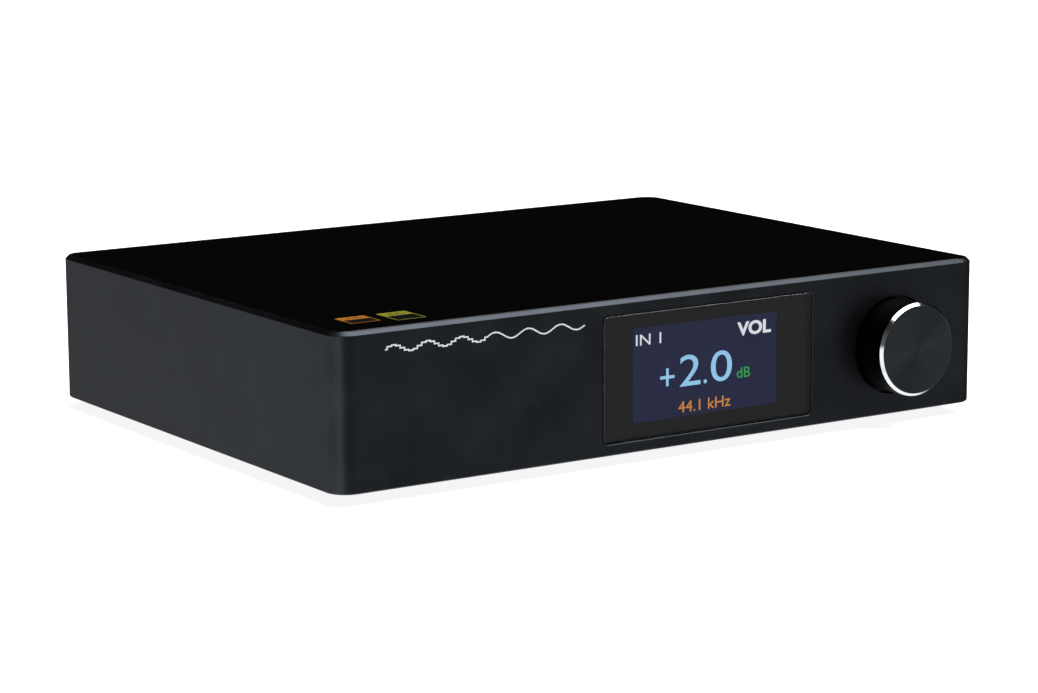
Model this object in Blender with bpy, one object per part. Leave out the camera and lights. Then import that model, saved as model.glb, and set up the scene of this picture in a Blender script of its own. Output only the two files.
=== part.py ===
"""Desktop digital-to-analogue converter, built as the assembly that comes apart on a bench.

A machined aluminium shell carries a glass top, a flush display window and a push-and-turn knob.
A sheet cover closes it from below and a plate with the sockets closes it at the back.

Frame: X to the right, Y to the back, Z up, origin on the table at the middle of the whole object.
Every size is in metres.
"""

import math

import bmesh
import bpy
from mathutils import Matrix

MM = 0.001

# Clearances
GAP = 0.3 * MM  # between pieces that touch
RUNNING_GAP = 0.12 * MM  # around a shaft that turns
OVERCUT = 1.0 * MM  # how far a cutter runs past the face it opens

# Body
BODY_WIDTH = 187.0 * MM
BODY_DEPTH = 140.5 * MM
BODY_HEIGHT = 36.8 * MM
CORNER_RADIUS = 5.3 * MM
EDGE_CHAMFER = 0.9 * MM
EDGE_BREAK = 0.3 * MM
SIDE_WALL = 3.0 * MM
FRONT_WALL = 5.0 * MM
REAR_WALL = 6.0 * MM
DECK_THICKNESS = 1.5 * MM
CORNER_PILLAR = 7.0 * MM
GLASS_THICKNESS = 2.0 * MM
GLASS_RIM = 0.35 * MM
COVER_THICKNESS = 1.5 * MM

# Feet
FOOT_HEIGHT = 3.0 * MM
FOOT_RADIUS = 8.0 * MM
FOOT_TAPER = 1.0 * MM
FOOT_INSET = 25.0 * MM

# Rear plate and what stands out of it
PANEL_THICKNESS = 2.0 * MM
PANEL_LEDGE = 4.0 * MM
PANEL_LIP = 1.5 * MM
PANEL_BASE = 2.0 * MM
PANEL_CORNER_INSET = 0.5 * MM
JACK_STAND_OUT = 7.0 * MM

# Display window
WINDOW_WIDTH = 61.6 * MM
WINDOW_MARGIN = 3.35 * MM  # shell left above and below the window
WINDOW_DROP = 0.3 * MM  # below the middle of the front
WINDOW_SIDE_INSET = 53.5 * MM  # from the right side to the window
WINDOW_RADIUS = 1.3 * MM
WINDOW_LEDGE = 1.2 * MM
LENS_THICKNESS = 1.5 * MM
DISPLAY_SIDE_BORDER = 5.8 * MM
DISPLAY_END_BORDER = 2.25 * MM
DISPLAY_THICKNESS = 2.2 * MM
HOLDER_WALL = 1.5 * MM
SENSOR_INSET = 3.5 * MM
SENSOR_HEIGHT = 5.0 * MM
SENSOR_LENGTH = 3.5 * MM
SENSOR_SIDE_ROOM = 0.5 * MM  # between the receiver and the display beside it
LEAD_WIDTH = 0.5 * MM
LEAD_HEIGHT = 4.0 * MM
LAMP_INSET = 2.6 * MM
LAMP_RADIUS = 0.9 * MM

# Knob
KNOB_RADIUS = 11.6 * MM
KNOB_STAND_OUT = 9.0 * MM
KNOB_SEAT = 1.2 * MM  # how far its back reaches into the recess
KNOB_CHAMFER = 0.66 * MM
KNOB_FACE_THICKNESS = 1.35 * MM
KNOB_SIDE_INSET = 27.3 * MM
KNOB_DROP = 0.9 * MM
KNOB_TRAVEL = 0.5 * MM
KNOB_HOLLOW_CLEARANCE = 1.5 * MM  # left over the bush when the knob is pressed
RECESS_CLEARANCE = 0.65 * MM
RECESS_DEPTH = KNOB_SEAT + KNOB_TRAVEL + GAP

# Rotary encoder behind the knob
SHAFT_RADIUS = 3.0 * MM
SHAFT_FLAT_DEPTH = 0.8 * MM
SHAFT_FLAT = SHAFT_RADIUS - SHAFT_FLAT_DEPTH  # from the axis to the flat
BUSH_WALL = 0.5 * MM
BUSH_RADIUS = SHAFT_RADIUS + BUSH_WALL
BUSH_LENGTH = 3.2 * MM  # past the floor of the recess
NUT_THICKNESS = 2.0 * MM
NUT_WALL = 1.5 * MM
NUT_ACROSS_FLATS = 2 * (BUSH_RADIUS + NUT_WALL)
ROTOR_WALL = 1.9 * MM
ROTOR_RADIUS = SHAFT_RADIUS + ROTOR_WALL
ROTOR_THICKNESS = 2.6 * MM
ENCODER_SIDE_WALL = 1.0 * MM
ENCODER_SIDE = 2 * (ROTOR_RADIUS + GAP + ENCODER_SIDE_WALL)
ENCODER_CORNER = 1.0 * MM
ENCODER_DEPTH = 6.9 * MM
ENCODER_WALL = 1.25 * MM
SWITCH_TRAVEL = KNOB_TRAVEL + GAP + 0.2 * MM  # room behind the shaft
PLUNGER_RADIUS = 1.4 * MM
PLUNGER_LENGTH = 1.4 * MM
GRUB_RADIUS = 1.25 * MM
GRUB_SKIN = 4.4 * MM  # from the grub screw's end to the knob's side

# Circuit boards
BOARD_THICKNESS = 1.6 * MM
STANDOFF_HEIGHT = 3.0 * MM
STANDOFF_RADIUS = 3.0 * MM
BOARD_EDGE = 1.5 * MM  # from a board to the wall beside it
BOARD_SCREW_INSET = 7.0 * MM
FRONT_BOARD_CLEARANCE = 2.0 * MM  # above the front board and beside the encoder
FRONT_BOARD_ROOM = 20.0 * MM  # kept free behind the front wall
FRONT_BOARD_MARGIN = 9.0 * MM
FRONT_BOSS_RADIUS = 3.2 * MM
CABLE_WIDTH = 12.0 * MM
CABLE_THICKNESS = 0.4 * MM

# What stands on the boards
CONVERTER_SIDE = 14.0 * MM
INTERFACE_SIDE = 10.0 * MM
CHIP_HEIGHT = 1.2 * MM
SMOOTHING_RADIUS = 5.0 * MM
SMOOTHING_HEADROOM = 6.6 * MM  # from the can up to the deck
SMOOTHING_SPACING = 13.0 * MM
SOCKET_CLEARANCE = 12.0 * MM  # from the sockets to the row of tall parts
RELAY_WIDTH = 15.0 * MM
RELAY_DEPTH = 10.0 * MM
RELAY_HEIGHT = 9.0 * MM
CORE_WIDTH = 22.0 * MM
CORE_DEPTH = 12.0 * MM
CORE_HEADROOM = 8.6 * MM
BOBBIN_WIDTH = 15.0 * MM
BOBBIN_DEPTH = 20.0 * MM
BOBBIN_RECESS = 2.0 * MM  # from the core's ends to the bobbin
INLET_CLEARANCE = 16.0 * MM  # from the inlet to the transformer
MAINS_CAN_RADIUS = 6.5 * MM
MAINS_CAN_HEADROOM = 4.6 * MM
MAINS_CAN_CLEARANCE = 5.5 * MM  # from the bobbin to the can

# Fasteners
COVER_SCREW_RADIUS = 1.5 * MM
COVER_SCREW_LENGTH = 8.0 * MM
SMALL_SCREW_RADIUS = 1.25 * MM
PANEL_SCREW_LENGTH = 5.5 * MM
BOARD_SCREW_LENGTH = 4.0 * MM
HEAD_RATIO = 1.9  # each of these is over the thread's radius
HEAD_RISE_RATIO = 1.1
SOCKET_RATIO = 0.6
TIP_RATIO = 0.7
TIP_LENGTH_RATIO = 0.5

# Sockets in the rear plate, each with the width of its place in the row
XLR_RADIUS = 10.0 * MM
XLR_FLANGE = 0.8 * MM
XLR_WALL = 1.1 * MM
XLR_BODY_RADIUS = XLR_RADIUS - XLR_FLANGE
XLR_BORE_RADIUS = XLR_BODY_RADIUS - XLR_WALL
XLR_BORE_DEPTH = 15.0 * MM
XLR_INSERT_THICKNESS = 3.0 * MM
XLR_DEPTH = 20.0 * MM
XLR_PIN_RADIUS = 1.2 * MM
XLR_PIN_LENGTH = 10.5 * MM
XLR_PIN_CIRCLE = 4.0 * MM
FLANGE_STAND_OUT = 1.2 * MM
PHONO_FLANGE_RADIUS = 5.3 * MM
PHONO_FLANGE = 1.15 * MM
PHONO_BARREL_RADIUS = PHONO_FLANGE_RADIUS - PHONO_FLANGE
PHONO_HOLE_RADIUS = 1.6 * MM
PHONO_BODY_DEPTH = 12.0 * MM
JOIN = 1.0 * MM  # how far parts of one piece reach into each other
ANTENNA_RADIUS = 3.1 * MM
ANTENNA_HOLE_RADIUS = 1.1 * MM
ANTENNA_NUT_WALL = 0.9 * MM
ANTENNA_ACROSS_FLATS = 2 * (ANTENNA_RADIUS + ANTENNA_NUT_WALL)
ANTENNA_SHOULDER = 2.0 * MM
ANTENNA_STUB_LENGTH = 6.0 * MM
ANTENNA_STUB_RADIUS = 2.2 * MM
USB_WIDTH = 11.4 * MM
USB_HEIGHT = 10.6 * MM
USB_DEPTH = 16.0 * MM
USB_SIDE_WALL = 1.4 * MM
USB_END_WALL = 1.3 * MM
USB_MOUTH_WIDTH = USB_WIDTH - 2 * USB_SIDE_WALL
USB_MOUTH_HEIGHT = USB_HEIGHT - 2 * USB_END_WALL
USB_MOUTH_DEPTH = 9.0 * MM
USB_MOUTH_CORNER = 1.6 * MM
USB_TONGUE_SIDE_ROOM = 1.5 * MM
USB_TONGUE_END_ROOM = 2.4 * MM
OPTICAL_SIDE = 9.6 * MM
OPTICAL_DEPTH = 13.0 * MM
OPTICAL_WALL = 1.5 * MM
OPTICAL_MOUTH = OPTICAL_SIDE - 2 * OPTICAL_WALL
OPTICAL_MOUTH_DEPTH = 9.0 * MM
SHUTTER_THICKNESS = 0.8 * MM
SHUTTER_PIN_RADIUS = 0.45 * MM
SHUTTER_PIN_REACH = 0.6 * MM
INLET_WIDTH = 20.0 * MM
INLET_HEIGHT = 12.5 * MM
INLET_DEPTH = 18.0 * MM
INLET_CORNER = 2.0 * MM
INLET_SIDE_WALL = 1.9 * MM
INLET_END_WALL = 2.35 * MM
INLET_MOUTH_WIDTH = INLET_WIDTH - 2 * INLET_SIDE_WALL
INLET_MOUTH_HEIGHT = INLET_HEIGHT - 2 * INLET_END_WALL
INLET_MOUTH_DEPTH = 13.0 * MM
INLET_PIN_RADIUS = 1.2 * MM
INLET_PIN_SPACING = 8.6 * MM
INLET_PIN_LENGTH = 10.0 * MM
SWITCH_WIDTH = 13.4 * MM
SWITCH_HEIGHT = 20.4 * MM
SWITCH_DEPTH = 12.0 * MM
SWITCH_CORNER = 1.0 * MM
SWITCH_SIDE_WALL = 0.8 * MM
SWITCH_END_WALL = 1.2 * MM
BEZEL_OVERLAP = 0.8 * MM
ROCKER_END_CLEARANCE = 0.6 * MM
ROCKER_HEEL_DEPTH = 1.2 * MM  # of the ends behind the pivot, inside the switch
ROCKER_KEEL_DEPTH = 3.2 * MM  # of the middle behind the pivot
ROCKER_KEEL = 2.0 * MM  # half the length of the level part there
ROCKER_END_RISE = 3.2 * MM  # of the ends in front of the pivot: the two halves form a shallow V
ROCKER_WAIST_RISE = 1.9 * MM
ROCKER_TILT = 12.0  # degrees either side of level
ROCKER_PIN_RADIUS = 1.0 * MM
ROCKER_PIN_REACH = 0.7 * MM
PIVOT_DEPTH = 1.0 * MM  # of the rocker's pivot behind the plate's face
switch_body_width = SWITCH_WIDTH - 2 * BEZEL_OVERLAP - 2 * GAP
switch_body_height = SWITCH_HEIGHT - 2 * BEZEL_OVERLAP - 2 * GAP
ROCKER_WIDTH = switch_body_width - 2 * SWITCH_SIDE_WALL - 2 * GAP
ROCKER_HALF_LENGTH = switch_body_height / 2 - SWITCH_END_WALL - ROCKER_END_CLEARANCE

# Places that follow from the sizes above
overall_depth = KNOB_STAND_OUT + BODY_DEPTH + JACK_STAND_OUT
front_y = -overall_depth / 2 + KNOB_STAND_OUT
rear_y = front_y + BODY_DEPTH
middle_y = (front_y + rear_y) / 2
base_z = FOOT_HEIGHT
deck_height = BODY_HEIGHT - GLASS_THICKNESS - GAP - DECK_THICKNESS
cavity_width = BODY_WIDTH - 2 * SIDE_WALL
cavity_front = front_y + FRONT_WALL
cavity_rear = rear_y - REAR_WALL
board_height = COVER_THICKNESS + STANDOFF_HEIGHT + GAP
board_top = base_z + board_height + BOARD_THICKNESS
part_room = deck_height - board_height - BOARD_THICKNESS  # from a board up to the deck
boards_front = cavity_front + FRONT_BOARD_ROOM

window_x = BODY_WIDTH / 2 - WINDOW_SIDE_INSET - WINDOW_WIDTH / 2
window_z = base_z + BODY_HEIGHT / 2 - WINDOW_DROP
window_height = BODY_HEIGHT - 2 * WINDOW_MARGIN
knob_x = BODY_WIDTH / 2 - KNOB_SIDE_INSET
knob_z = base_z + BODY_HEIGHT / 2 - KNOB_DROP
encoder_back = FRONT_WALL + GAP + ENCODER_DEPTH
front_board_depth = encoder_back + GAP  # from the front face to the board behind it

panel_width = BODY_WIDTH - 2 * (CORNER_RADIUS + PANEL_CORNER_INSET)
panel_height = deck_height - PANEL_BASE
panel_z = base_z + PANEL_BASE + panel_height / 2
panel_screw_x = panel_width / 2 - PANEL_LEDGE / 2
panel_screw_z = panel_height / 2 - PANEL_LEDGE
usb_z = board_top + GAP + USB_HEIGHT / 2
optical_z = board_top + GAP + OPTICAL_SIDE / 2
shutter_pivot_height = OPTICAL_MOUTH / 2 - 2 * SHUTTER_PIN_RADIUS
knob_hollow_end = -RECESS_DEPTH + BUSH_LENGTH + KNOB_TRAVEL + KNOB_HOLLOW_CLEARANCE
shaft_back = -encoder_back + ENCODER_WALL + SWITCH_TRAVEL


def row_of_places(widths, room):
    """Centres of places of the given widths, spread evenly over the room, from right to left."""
    space = (room - sum(widths)) / (len(widths) + 1)
    centres = []
    edge = room / 2
    for width in widths:
        centres.append(edge - space - width / 2)
        edge -= space + width
    return centres


rear_names = (
    "xlr_right", "xlr_left", "rca_right", "rca_left", "antenna",
    "usb", "optical", "coaxial", "inlet", "switch",
)
rear_widths = (
    2 * XLR_RADIUS, 2 * XLR_RADIUS, 2 * PHONO_FLANGE_RADIUS, 2 * PHONO_FLANGE_RADIUS, ANTENNA_ACROSS_FLATS,
    USB_WIDTH + 2 * GAP, OPTICAL_SIDE, 2 * PHONO_FLANGE_RADIUS, INLET_WIDTH, SWITCH_WIDTH,
)
rear_places = dict(zip(rear_names, row_of_places(rear_widths, panel_width - 2 * PANEL_LEDGE)))
board_split = (rear_places["coaxial"] - PHONO_FLANGE_RADIUS + rear_places["inlet"] + INLET_WIDTH / 2) / 2


# ---------------------------------------------------------------------------------------------
# Places: each returns the frame that a piece is drawn in
# ---------------------------------------------------------------------------------------------
def upright(x, y, z):
    """A frame that stands on the table's axes."""
    return Matrix.Translation((x, y, z))


def on_front(x, z, depth=0.0):
    """A frame on the front face: X right, Y up, Z out towards the user, `depth` behind the face."""
    return Matrix.Translation((x, front_y + depth, z)) @ Matrix.Rotation(math.radians(90), 4, "X")


def on_rear(x, z, depth=0.0):
    """A frame on the rear face as seen from behind: X to its right, Y up, Z out to the back."""
    turn = Matrix(((-1, 0, 0, 0), (0, 0, 1, 0), (0, 1, 0, 0), (0, 0, 0, 1)))
    return Matrix.Translation((x, rear_y - depth, z)) @ turn


# ---------------------------------------------------------------------------------------------
# Outlines: lists of (x, y), anticlockwise
# ---------------------------------------------------------------------------------------------
def between(low, high):
    """A plain rectangle from its lowest corner to its highest."""
    return [low, (high[0], low[1]), high, (low[0], high[1])]


def rectangle(width, height, centre=(0.0, 0.0)):
    """A plain rectangle round its centre."""
    x, y = centre
    return between((x - width / 2, y - height / 2), (x + width / 2, y + height / 2))


def rounded_rectangle(width, height, radius, steps=6):
    """A rectangle whose corners are quarter circles."""
    points = []
    for quarter, (sign_x, sign_y) in enumerate(((1, 1), (-1, 1), (-1, -1), (1, -1))):
        centre_x = sign_x * (width / 2 - radius)
        centre_y = sign_y * (height / 2 - radius)
        for step in range(steps + 1):
            angle = math.radians(90) * (quarter + step / steps)
            points.append((centre_x + radius * math.cos(angle), centre_y + radius * math.sin(angle)))
    return points


def circle(radius, steps=24, centre=(0.0, 0.0)):
    """A round outline."""
    turn = 2 * math.pi / steps
    return [
        (centre[0] + radius * math.cos(turn * step), centre[1] + radius * math.sin(turn * step))
        for step in range(steps)
    ]


def hexagon(across_flats):
    """A hexagon with flats at its left and right."""
    radius = across_flats / math.sqrt(3)
    return [
        (radius * math.cos(math.radians(30 + 60 * step)), radius * math.sin(math.radians(30 + 60 * step)))
        for step in range(6)
    ]


def d_outline(radius, flat, steps=28):
    """A circle cut off by a flat below its centre."""
    half_angle = math.acos(flat / radius)
    start = -math.pi / 2 + half_angle
    sweep = 2 * math.pi - 2 * half_angle
    return [
        (radius * math.cos(start + sweep * step / steps), radius * math.sin(start + sweep * step / steps))
        for step in range(steps + 1)
    ]


def notched_rectangle(low, high, notch, corners):
    """A rectangle with a square notch in each corner that is named by its (sign x, sign y)."""
    centre_x = (low[0] + high[0]) / 2
    centre_y = (low[1] + high[1]) / 2
    half_x = (high[0] - low[0]) / 2
    half_y = (high[1] - low[1]) / 2
    points = []
    for sign_x, sign_y in ((1, 1), (-1, 1), (-1, -1), (1, -1)):
        corner = (centre_x + sign_x * half_x, centre_y + sign_y * half_y)
        if (sign_x, sign_y) not in corners:
            points.append(corner)
            continue
        along_y = (corner[0], corner[1] - sign_y * notch)
        inner = (corner[0] - sign_x * notch, corner[1] - sign_y * notch)
        along_x = (corner[0] - sign_x * notch, corner[1])
        points += [along_y, inner, along_x] if sign_x == sign_y else [along_x, inner, along_y]
    return points


# ---------------------------------------------------------------------------------------------
# Solids
# ---------------------------------------------------------------------------------------------
def add_solid(name, shape, place):
    """Turn a bmesh into an object with its faces pointing out, drawn in the frame `place`."""
    bmesh.ops.recalc_face_normals(shape, faces=shape.faces)
    mesh = bpy.data.meshes.new(name)
    shape.to_mesh(mesh)
    shape.free()
    solid = bpy.data.objects.new(name, mesh)
    solid.matrix_world = place
    bpy.context.scene.collection.objects.link(solid)
    return solid


def stacked(name, layers, place):
    """A solid through outlines with equal numbers of points, each given with its height."""
    shape = bmesh.new()
    rings = [[shape.verts.new((x, y, height)) for x, y in outline] for outline, height in layers]
    for lower, upper in zip(rings, rings[1:]):
        for index in range(len(lower)):
            following = (index + 1) % len(lower)
            shape.faces.new((lower[index], lower[following], upper[following], upper[index]))
    shape.faces.new(rings[0][::-1])
    shape.faces.new(rings[-1])
    return add_solid(name, shape, place)


def prism(name, outline, low, high, place):
    """An outline carried straight from the height `low` to `high`."""
    return stacked(name, [(outline, low), (outline, high)], place)


def turned(name, profile, place, steps=24):
    """A solid turned about Z from (radius, height) points; a profile off the axis closes on itself."""
    shape = bmesh.new()
    rings = []
    for radius, height in profile:
        count = 1 if radius == 0 else steps
        rings.append([
            shape.verts.new((
                radius * math.cos(2 * math.pi * step / steps),
                radius * math.sin(2 * math.pi * step / steps),
                height,
            ))
            for step in range(count)
        ])
    pairs = list(zip(rings, rings[1:]))
    if profile[0][0] > 0:
        pairs.append((rings[-1], rings[0]))
    for first, second in pairs:
        for step in range(steps):
            corners = [
                first[step % len(first)], first[(step + 1) % len(first)],
                second[(step + 1) % len(second)], second[step % len(second)],
            ]
            shape.faces.new(list(dict.fromkeys(corners)))
    return add_solid(name, shape, place)


def combine(target, operation, tools):
    """Join the tools to the target (UNION) or cut them out of it (DIFFERENCE), and drop the tools."""
    for tool in tools:
        modifier = target.modifiers.new(operation, "BOOLEAN")
        modifier.operation = operation
        modifier.solver = "EXACT"
        modifier.object = tool
    bpy.context.view_layer.update()
    result = bpy.data.meshes.new_from_object(target.evaluated_get(bpy.context.evaluated_depsgraph_get()))
    target.modifiers.clear()
    target.data = result
    for tool in tools:
        bpy.data.objects.remove(tool)
    return target


def finish(solid, colour, roughness, metallic=0.0):
    """Give a solid its own material, and smooth shading between its sharp edges."""
    material = bpy.data.materials.new(solid.name)
    material.use_nodes = True
    shader = material.node_tree.nodes["Principled BSDF"]
    shader.inputs["Base Color"].default_value = (*colour, 1.0)
    shader.inputs["Roughness"].default_value = roughness
    shader.inputs["Metallic"].default_value = metallic
    solid.data.materials.clear()
    solid.data.materials.append(material)
    solid.data.shade_smooth()
    solid.data.set_sharp_from_angle(angle=math.radians(32))
    return solid


BLACK_ANODISED = ((0.020, 0.022, 0.024), 0.38, 1.0)
BLACK_PLASTIC = ((0.015, 0.015, 0.016), 0.45, 0.0)
GLOSS_BLACK = ((0.004, 0.004, 0.005), 0.05, 0.0)
BLACK_RUBBER = ((0.012, 0.012, 0.012), 0.80, 0.0)
ZINC_STEEL = ((0.42, 0.43, 0.44), 0.35, 1.0)
NICKEL = ((0.62, 0.60, 0.56), 0.22, 1.0)
GOLD_PLATE = ((0.83, 0.58, 0.22), 0.22, 1.0)
GREEN_BOARD = ((0.012, 0.090, 0.035), 0.40, 0.0)


# ---------------------------------------------------------------------------------------------
# Fasteners
# ---------------------------------------------------------------------------------------------
def screw_tip(radius, length):
    """The profile of a thread's end, from the axis to the full radius."""
    return [(0, -length), (radius * TIP_RATIO, -length), (radius, radius * TIP_LENGTH_RATIO - length)]


def pan_screw(name, radius, length, place):
    """A pan-head screw whose head rests at height 0 and whose thread runs down from it."""
    head = radius * HEAD_RATIO
    rise = radius * HEAD_RISE_RATIO
    socket = radius * SOCKET_RATIO
    profile = screw_tip(radius, length) + [
        (radius, 0), (head, 0), (head, rise / 2), (head * 0.75, rise), (socket, rise), (socket, rise / 4),
        (0, rise / 4),
    ]
    return finish(turned(name, profile, place, steps=12), *ZINC_STEEL)


def countersunk_screw(name, radius, length, place):
    """A countersunk screw whose flat head ends at height 0 and whose thread runs down from it."""
    head = radius * HEAD_RATIO
    socket = radius * SOCKET_RATIO
    profile = screw_tip(radius, length) + [
        (radius, radius - head), (head, 0), (socket, 0), (socket, -socket), (0, -socket),
    ]
    return finish(turned(name, profile, place, steps=12), *ZINC_STEEL)


def drill(radius, low, high, place, steps=12):
    """A round cutter."""
    return prism("drill", circle(radius, steps), low, high, place)


# ---------------------------------------------------------------------------------------------
# Enclosure
# ---------------------------------------------------------------------------------------------
def pillar_places():
    """Names and centres of the four corner pillars that the cover is screwed to."""
    half_x = cavity_width / 2 - CORNER_PILLAR / 2
    ends = (("front", cavity_front + CORNER_PILLAR / 2), ("rear", cavity_rear - CORNER_PILLAR / 2))
    sides = (("left", -half_x), ("right", half_x))
    return [(f"{end}_{side}", x, y) for end, y in ends for side, x in sides]


def front_board_screw_place():
    """Where the front board's screw and its boss stand, seen on the front face."""
    x = window_x - WINDOW_WIDTH / 2 - FRONT_BOARD_MARGIN + FRONT_BOSS_RADIUS
    return x, window_z


def front_cutters():
    """The openings in the front wall: display pocket and window, knob recess and bush hole."""
    face = on_front(window_x, window_z)
    knob_face = on_front(knob_x, knob_z)
    pocket = rounded_rectangle(WINDOW_WIDTH + 2 * GAP, window_height + 2 * GAP, WINDOW_RADIUS + GAP)
    window = rounded_rectangle(
        WINDOW_WIDTH - 2 * WINDOW_LEDGE, window_height - 2 * WINDOW_LEDGE, WINDOW_RADIUS, steps=2
    )
    boss_x, boss_z = front_board_screw_place()
    boss_depth = front_board_depth - BOARD_SCREW_LENGTH - GAP
    return [
        prism("pocket", pocket, -LENS_THICKNESS - GAP, OVERCUT, face),
        prism("window", window, -FRONT_WALL - OVERCUT, OVERCUT, face),
        drill(KNOB_RADIUS + RECESS_CLEARANCE, -RECESS_DEPTH, OVERCUT, knob_face, steps=64),
        drill(BUSH_RADIUS + GAP, -FRONT_WALL - OVERCUT, OVERCUT, knob_face, steps=24),
        drill(SMALL_SCREW_RADIUS + GAP, -front_board_depth - OVERCUT, -boss_depth, on_front(boss_x, boss_z)),
    ]


def rear_cutters():
    """The rebate and the opening for the rear plate, and its four screw holes."""
    rebate = rounded_rectangle(panel_width + 2 * GAP, panel_height + 2 * GAP, PANEL_LIP + GAP, steps=3)
    opening = rectangle(panel_width - 2 * PANEL_LEDGE, panel_height - 2 * PANEL_LIP)
    face = on_rear(0, panel_z)
    cutters = [
        prism("rebate", rebate, -PANEL_THICKNESS - GAP, OVERCUT, face),
        prism("opening", opening, -REAR_WALL - OVERCUT, OVERCUT, face),
    ]
    for side in (-1, 1):
        for end in (-1, 1):
            place = on_rear(side * panel_screw_x, panel_z + end * panel_screw_z)
            cutters.append(drill(SMALL_SCREW_RADIUS + GAP, -PANEL_SCREW_LENGTH - GAP, OVERCUT, place))
    return cutters


def body_outline(inset):
    """The body's outline from above, drawn the given inset inside its sides."""
    width = BODY_WIDTH - 2 * inset
    depth = BODY_DEPTH - 2 * inset
    return rounded_rectangle(width, depth, CORNER_RADIUS - inset, steps=8)


def make_chassis_shell():
    """The machined body: front, sides, rear frame, deck under the glass and corner pillars."""
    place = upright(0, middle_y, base_z)
    layers = [
        (body_outline(EDGE_BREAK), 0.0),
        (body_outline(0.0), EDGE_BREAK),
        (body_outline(0.0), BODY_HEIGHT - EDGE_CHAMFER),
        (body_outline(EDGE_CHAMFER), BODY_HEIGHT),
    ]
    shell = stacked("chassis_shell", layers, place)
    half_x = cavity_width / 2
    every_corner = ((1, 1), (-1, 1), (-1, -1), (1, -1))
    cavity = notched_rectangle((-half_x, cavity_front), (half_x, cavity_rear), CORNER_PILLAR, every_corner)
    cover_seat = between((-half_x, cavity_front), (half_x, cavity_rear))
    floor = upright(0, 0, base_z)
    cutters = [
        prism("glass_seat", body_outline(EDGE_CHAMFER + GLASS_RIM), BODY_HEIGHT - GLASS_THICKNESS - GAP,
              BODY_HEIGHT + OVERCUT, place),
        prism("cavity", cavity, -OVERCUT, deck_height, floor),
        prism("cover_seat", cover_seat, -OVERCUT, COVER_THICKNESS + GAP, floor),
    ]
    for _, x, y in pillar_places():
        hole = COVER_SCREW_RADIUS + GAP
        cutters.append(drill(hole, -OVERCUT, COVER_SCREW_LENGTH + GAP, upright(x, y, base_z)))
    combine(shell, "DIFFERENCE", cutters)
    boss_x, boss_z = front_board_screw_place()
    boss = prism("boss", circle(FRONT_BOSS_RADIUS, 16), -front_board_depth + GAP, -FRONT_WALL + OVERCUT,
                 on_front(boss_x, boss_z))
    combine(shell, "UNION", [boss])
    combine(shell, "DIFFERENCE", front_cutters() + rear_cutters())
    finish(shell, *BLACK_ANODISED)


def make_top_glass():
    """The gloss black glass that lies flush in the top of the shell."""
    outline = body_outline(EDGE_CHAMFER + GLASS_RIM + GAP)
    place = upright(0, middle_y, base_z + BODY_HEIGHT - GLASS_THICKNESS)
    finish(prism("top_glass", outline, 0.0, GLASS_THICKNESS, place), *GLOSS_BLACK)


def board_screw_places():
    """Where the two boards are screwed to the cover's standoffs: name, x, y."""
    low_y = boards_front + BOARD_SCREW_INSET
    high_y = cavity_rear - CORNER_PILLAR - BOARD_SCREW_INSET - XLR_DEPTH
    left = -cavity_width / 2 + BOARD_SCREW_INSET
    right = cavity_width / 2 - BOARD_SCREW_INSET
    return [
        ("main_board_screw_1", board_split + BOARD_SCREW_INSET, low_y),
        ("main_board_screw_2", right, low_y),
        ("main_board_screw_3", right, high_y),
        ("power_board_screw_1", left, low_y),
        ("power_board_screw_2", left, high_y),
    ]


def make_bottom_cover():
    """The sheet that closes the shell from below, with standoffs swaged into it for the boards."""
    half_x = cavity_width / 2 - GAP
    outline = between((-half_x, cavity_front + GAP), (half_x, cavity_rear - GAP))
    place = upright(0, 0, base_z)
    cover = prism("bottom_cover", outline, 0.0, COVER_THICKNESS, place)
    standoffs = [
        prism("standoff", circle(STANDOFF_RADIUS, 12), COVER_THICKNESS / 2, COVER_THICKNESS + STANDOFF_HEIGHT,
              upright(x, y, base_z))
        for _, x, y in board_screw_places()
    ]
    combine(cover, "UNION", standoffs)
    cutters = []
    for _, x, y in pillar_places():
        hole = COVER_SCREW_RADIUS + GAP
        sink = COVER_SCREW_RADIUS * HEAD_RATIO + GAP
        profile = [
            (0, -OVERCUT), (sink, -OVERCUT), (sink, 0), (hole, sink - hole),
            (hole, COVER_THICKNESS + OVERCUT), (0, COVER_THICKNESS + OVERCUT),
        ]
        cutters.append(turned("countersink", profile, upright(x, y, base_z), steps=12))
    for _, x, y in board_screw_places():
        top = COVER_THICKNESS + STANDOFF_HEIGHT + OVERCUT
        cutters.append(drill(SMALL_SCREW_RADIUS + GAP, -OVERCUT, top, upright(x, y, base_z)))
    combine(cover, "DIFFERENCE", cutters)
    finish(cover, *BLACK_ANODISED)


def make_feet():
    """Four low rubber feet stuck under the cover."""
    for end, y in (("front", front_y + FOOT_INSET), ("rear", rear_y - FOOT_INSET)):
        for side, x in (("left", -BODY_WIDTH / 2 + FOOT_INSET), ("right", BODY_WIDTH / 2 - FOOT_INSET)):
            top = FOOT_HEIGHT - GAP
            profile = [
                (0, 0), (FOOT_RADIUS - FOOT_TAPER, 0), (FOOT_RADIUS, top - FOOT_TAPER), (FOOT_RADIUS, top),
                (0, top),
            ]
            finish(turned(f"foot_{end}_{side}", profile, upright(x, y, 0), steps=32), *BLACK_RUBBER)


def make_cover_screws():
    """The countersunk screws that hold the cover to the pillars, seen from below."""
    upside_down = Matrix.Rotation(math.pi, 4, "X")
    for corner, x, y in pillar_places():
        place = upright(x, y, base_z) @ upside_down
        countersunk_screw(f"cover_screw_{corner}", COVER_SCREW_RADIUS, COVER_SCREW_LENGTH, place)


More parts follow.
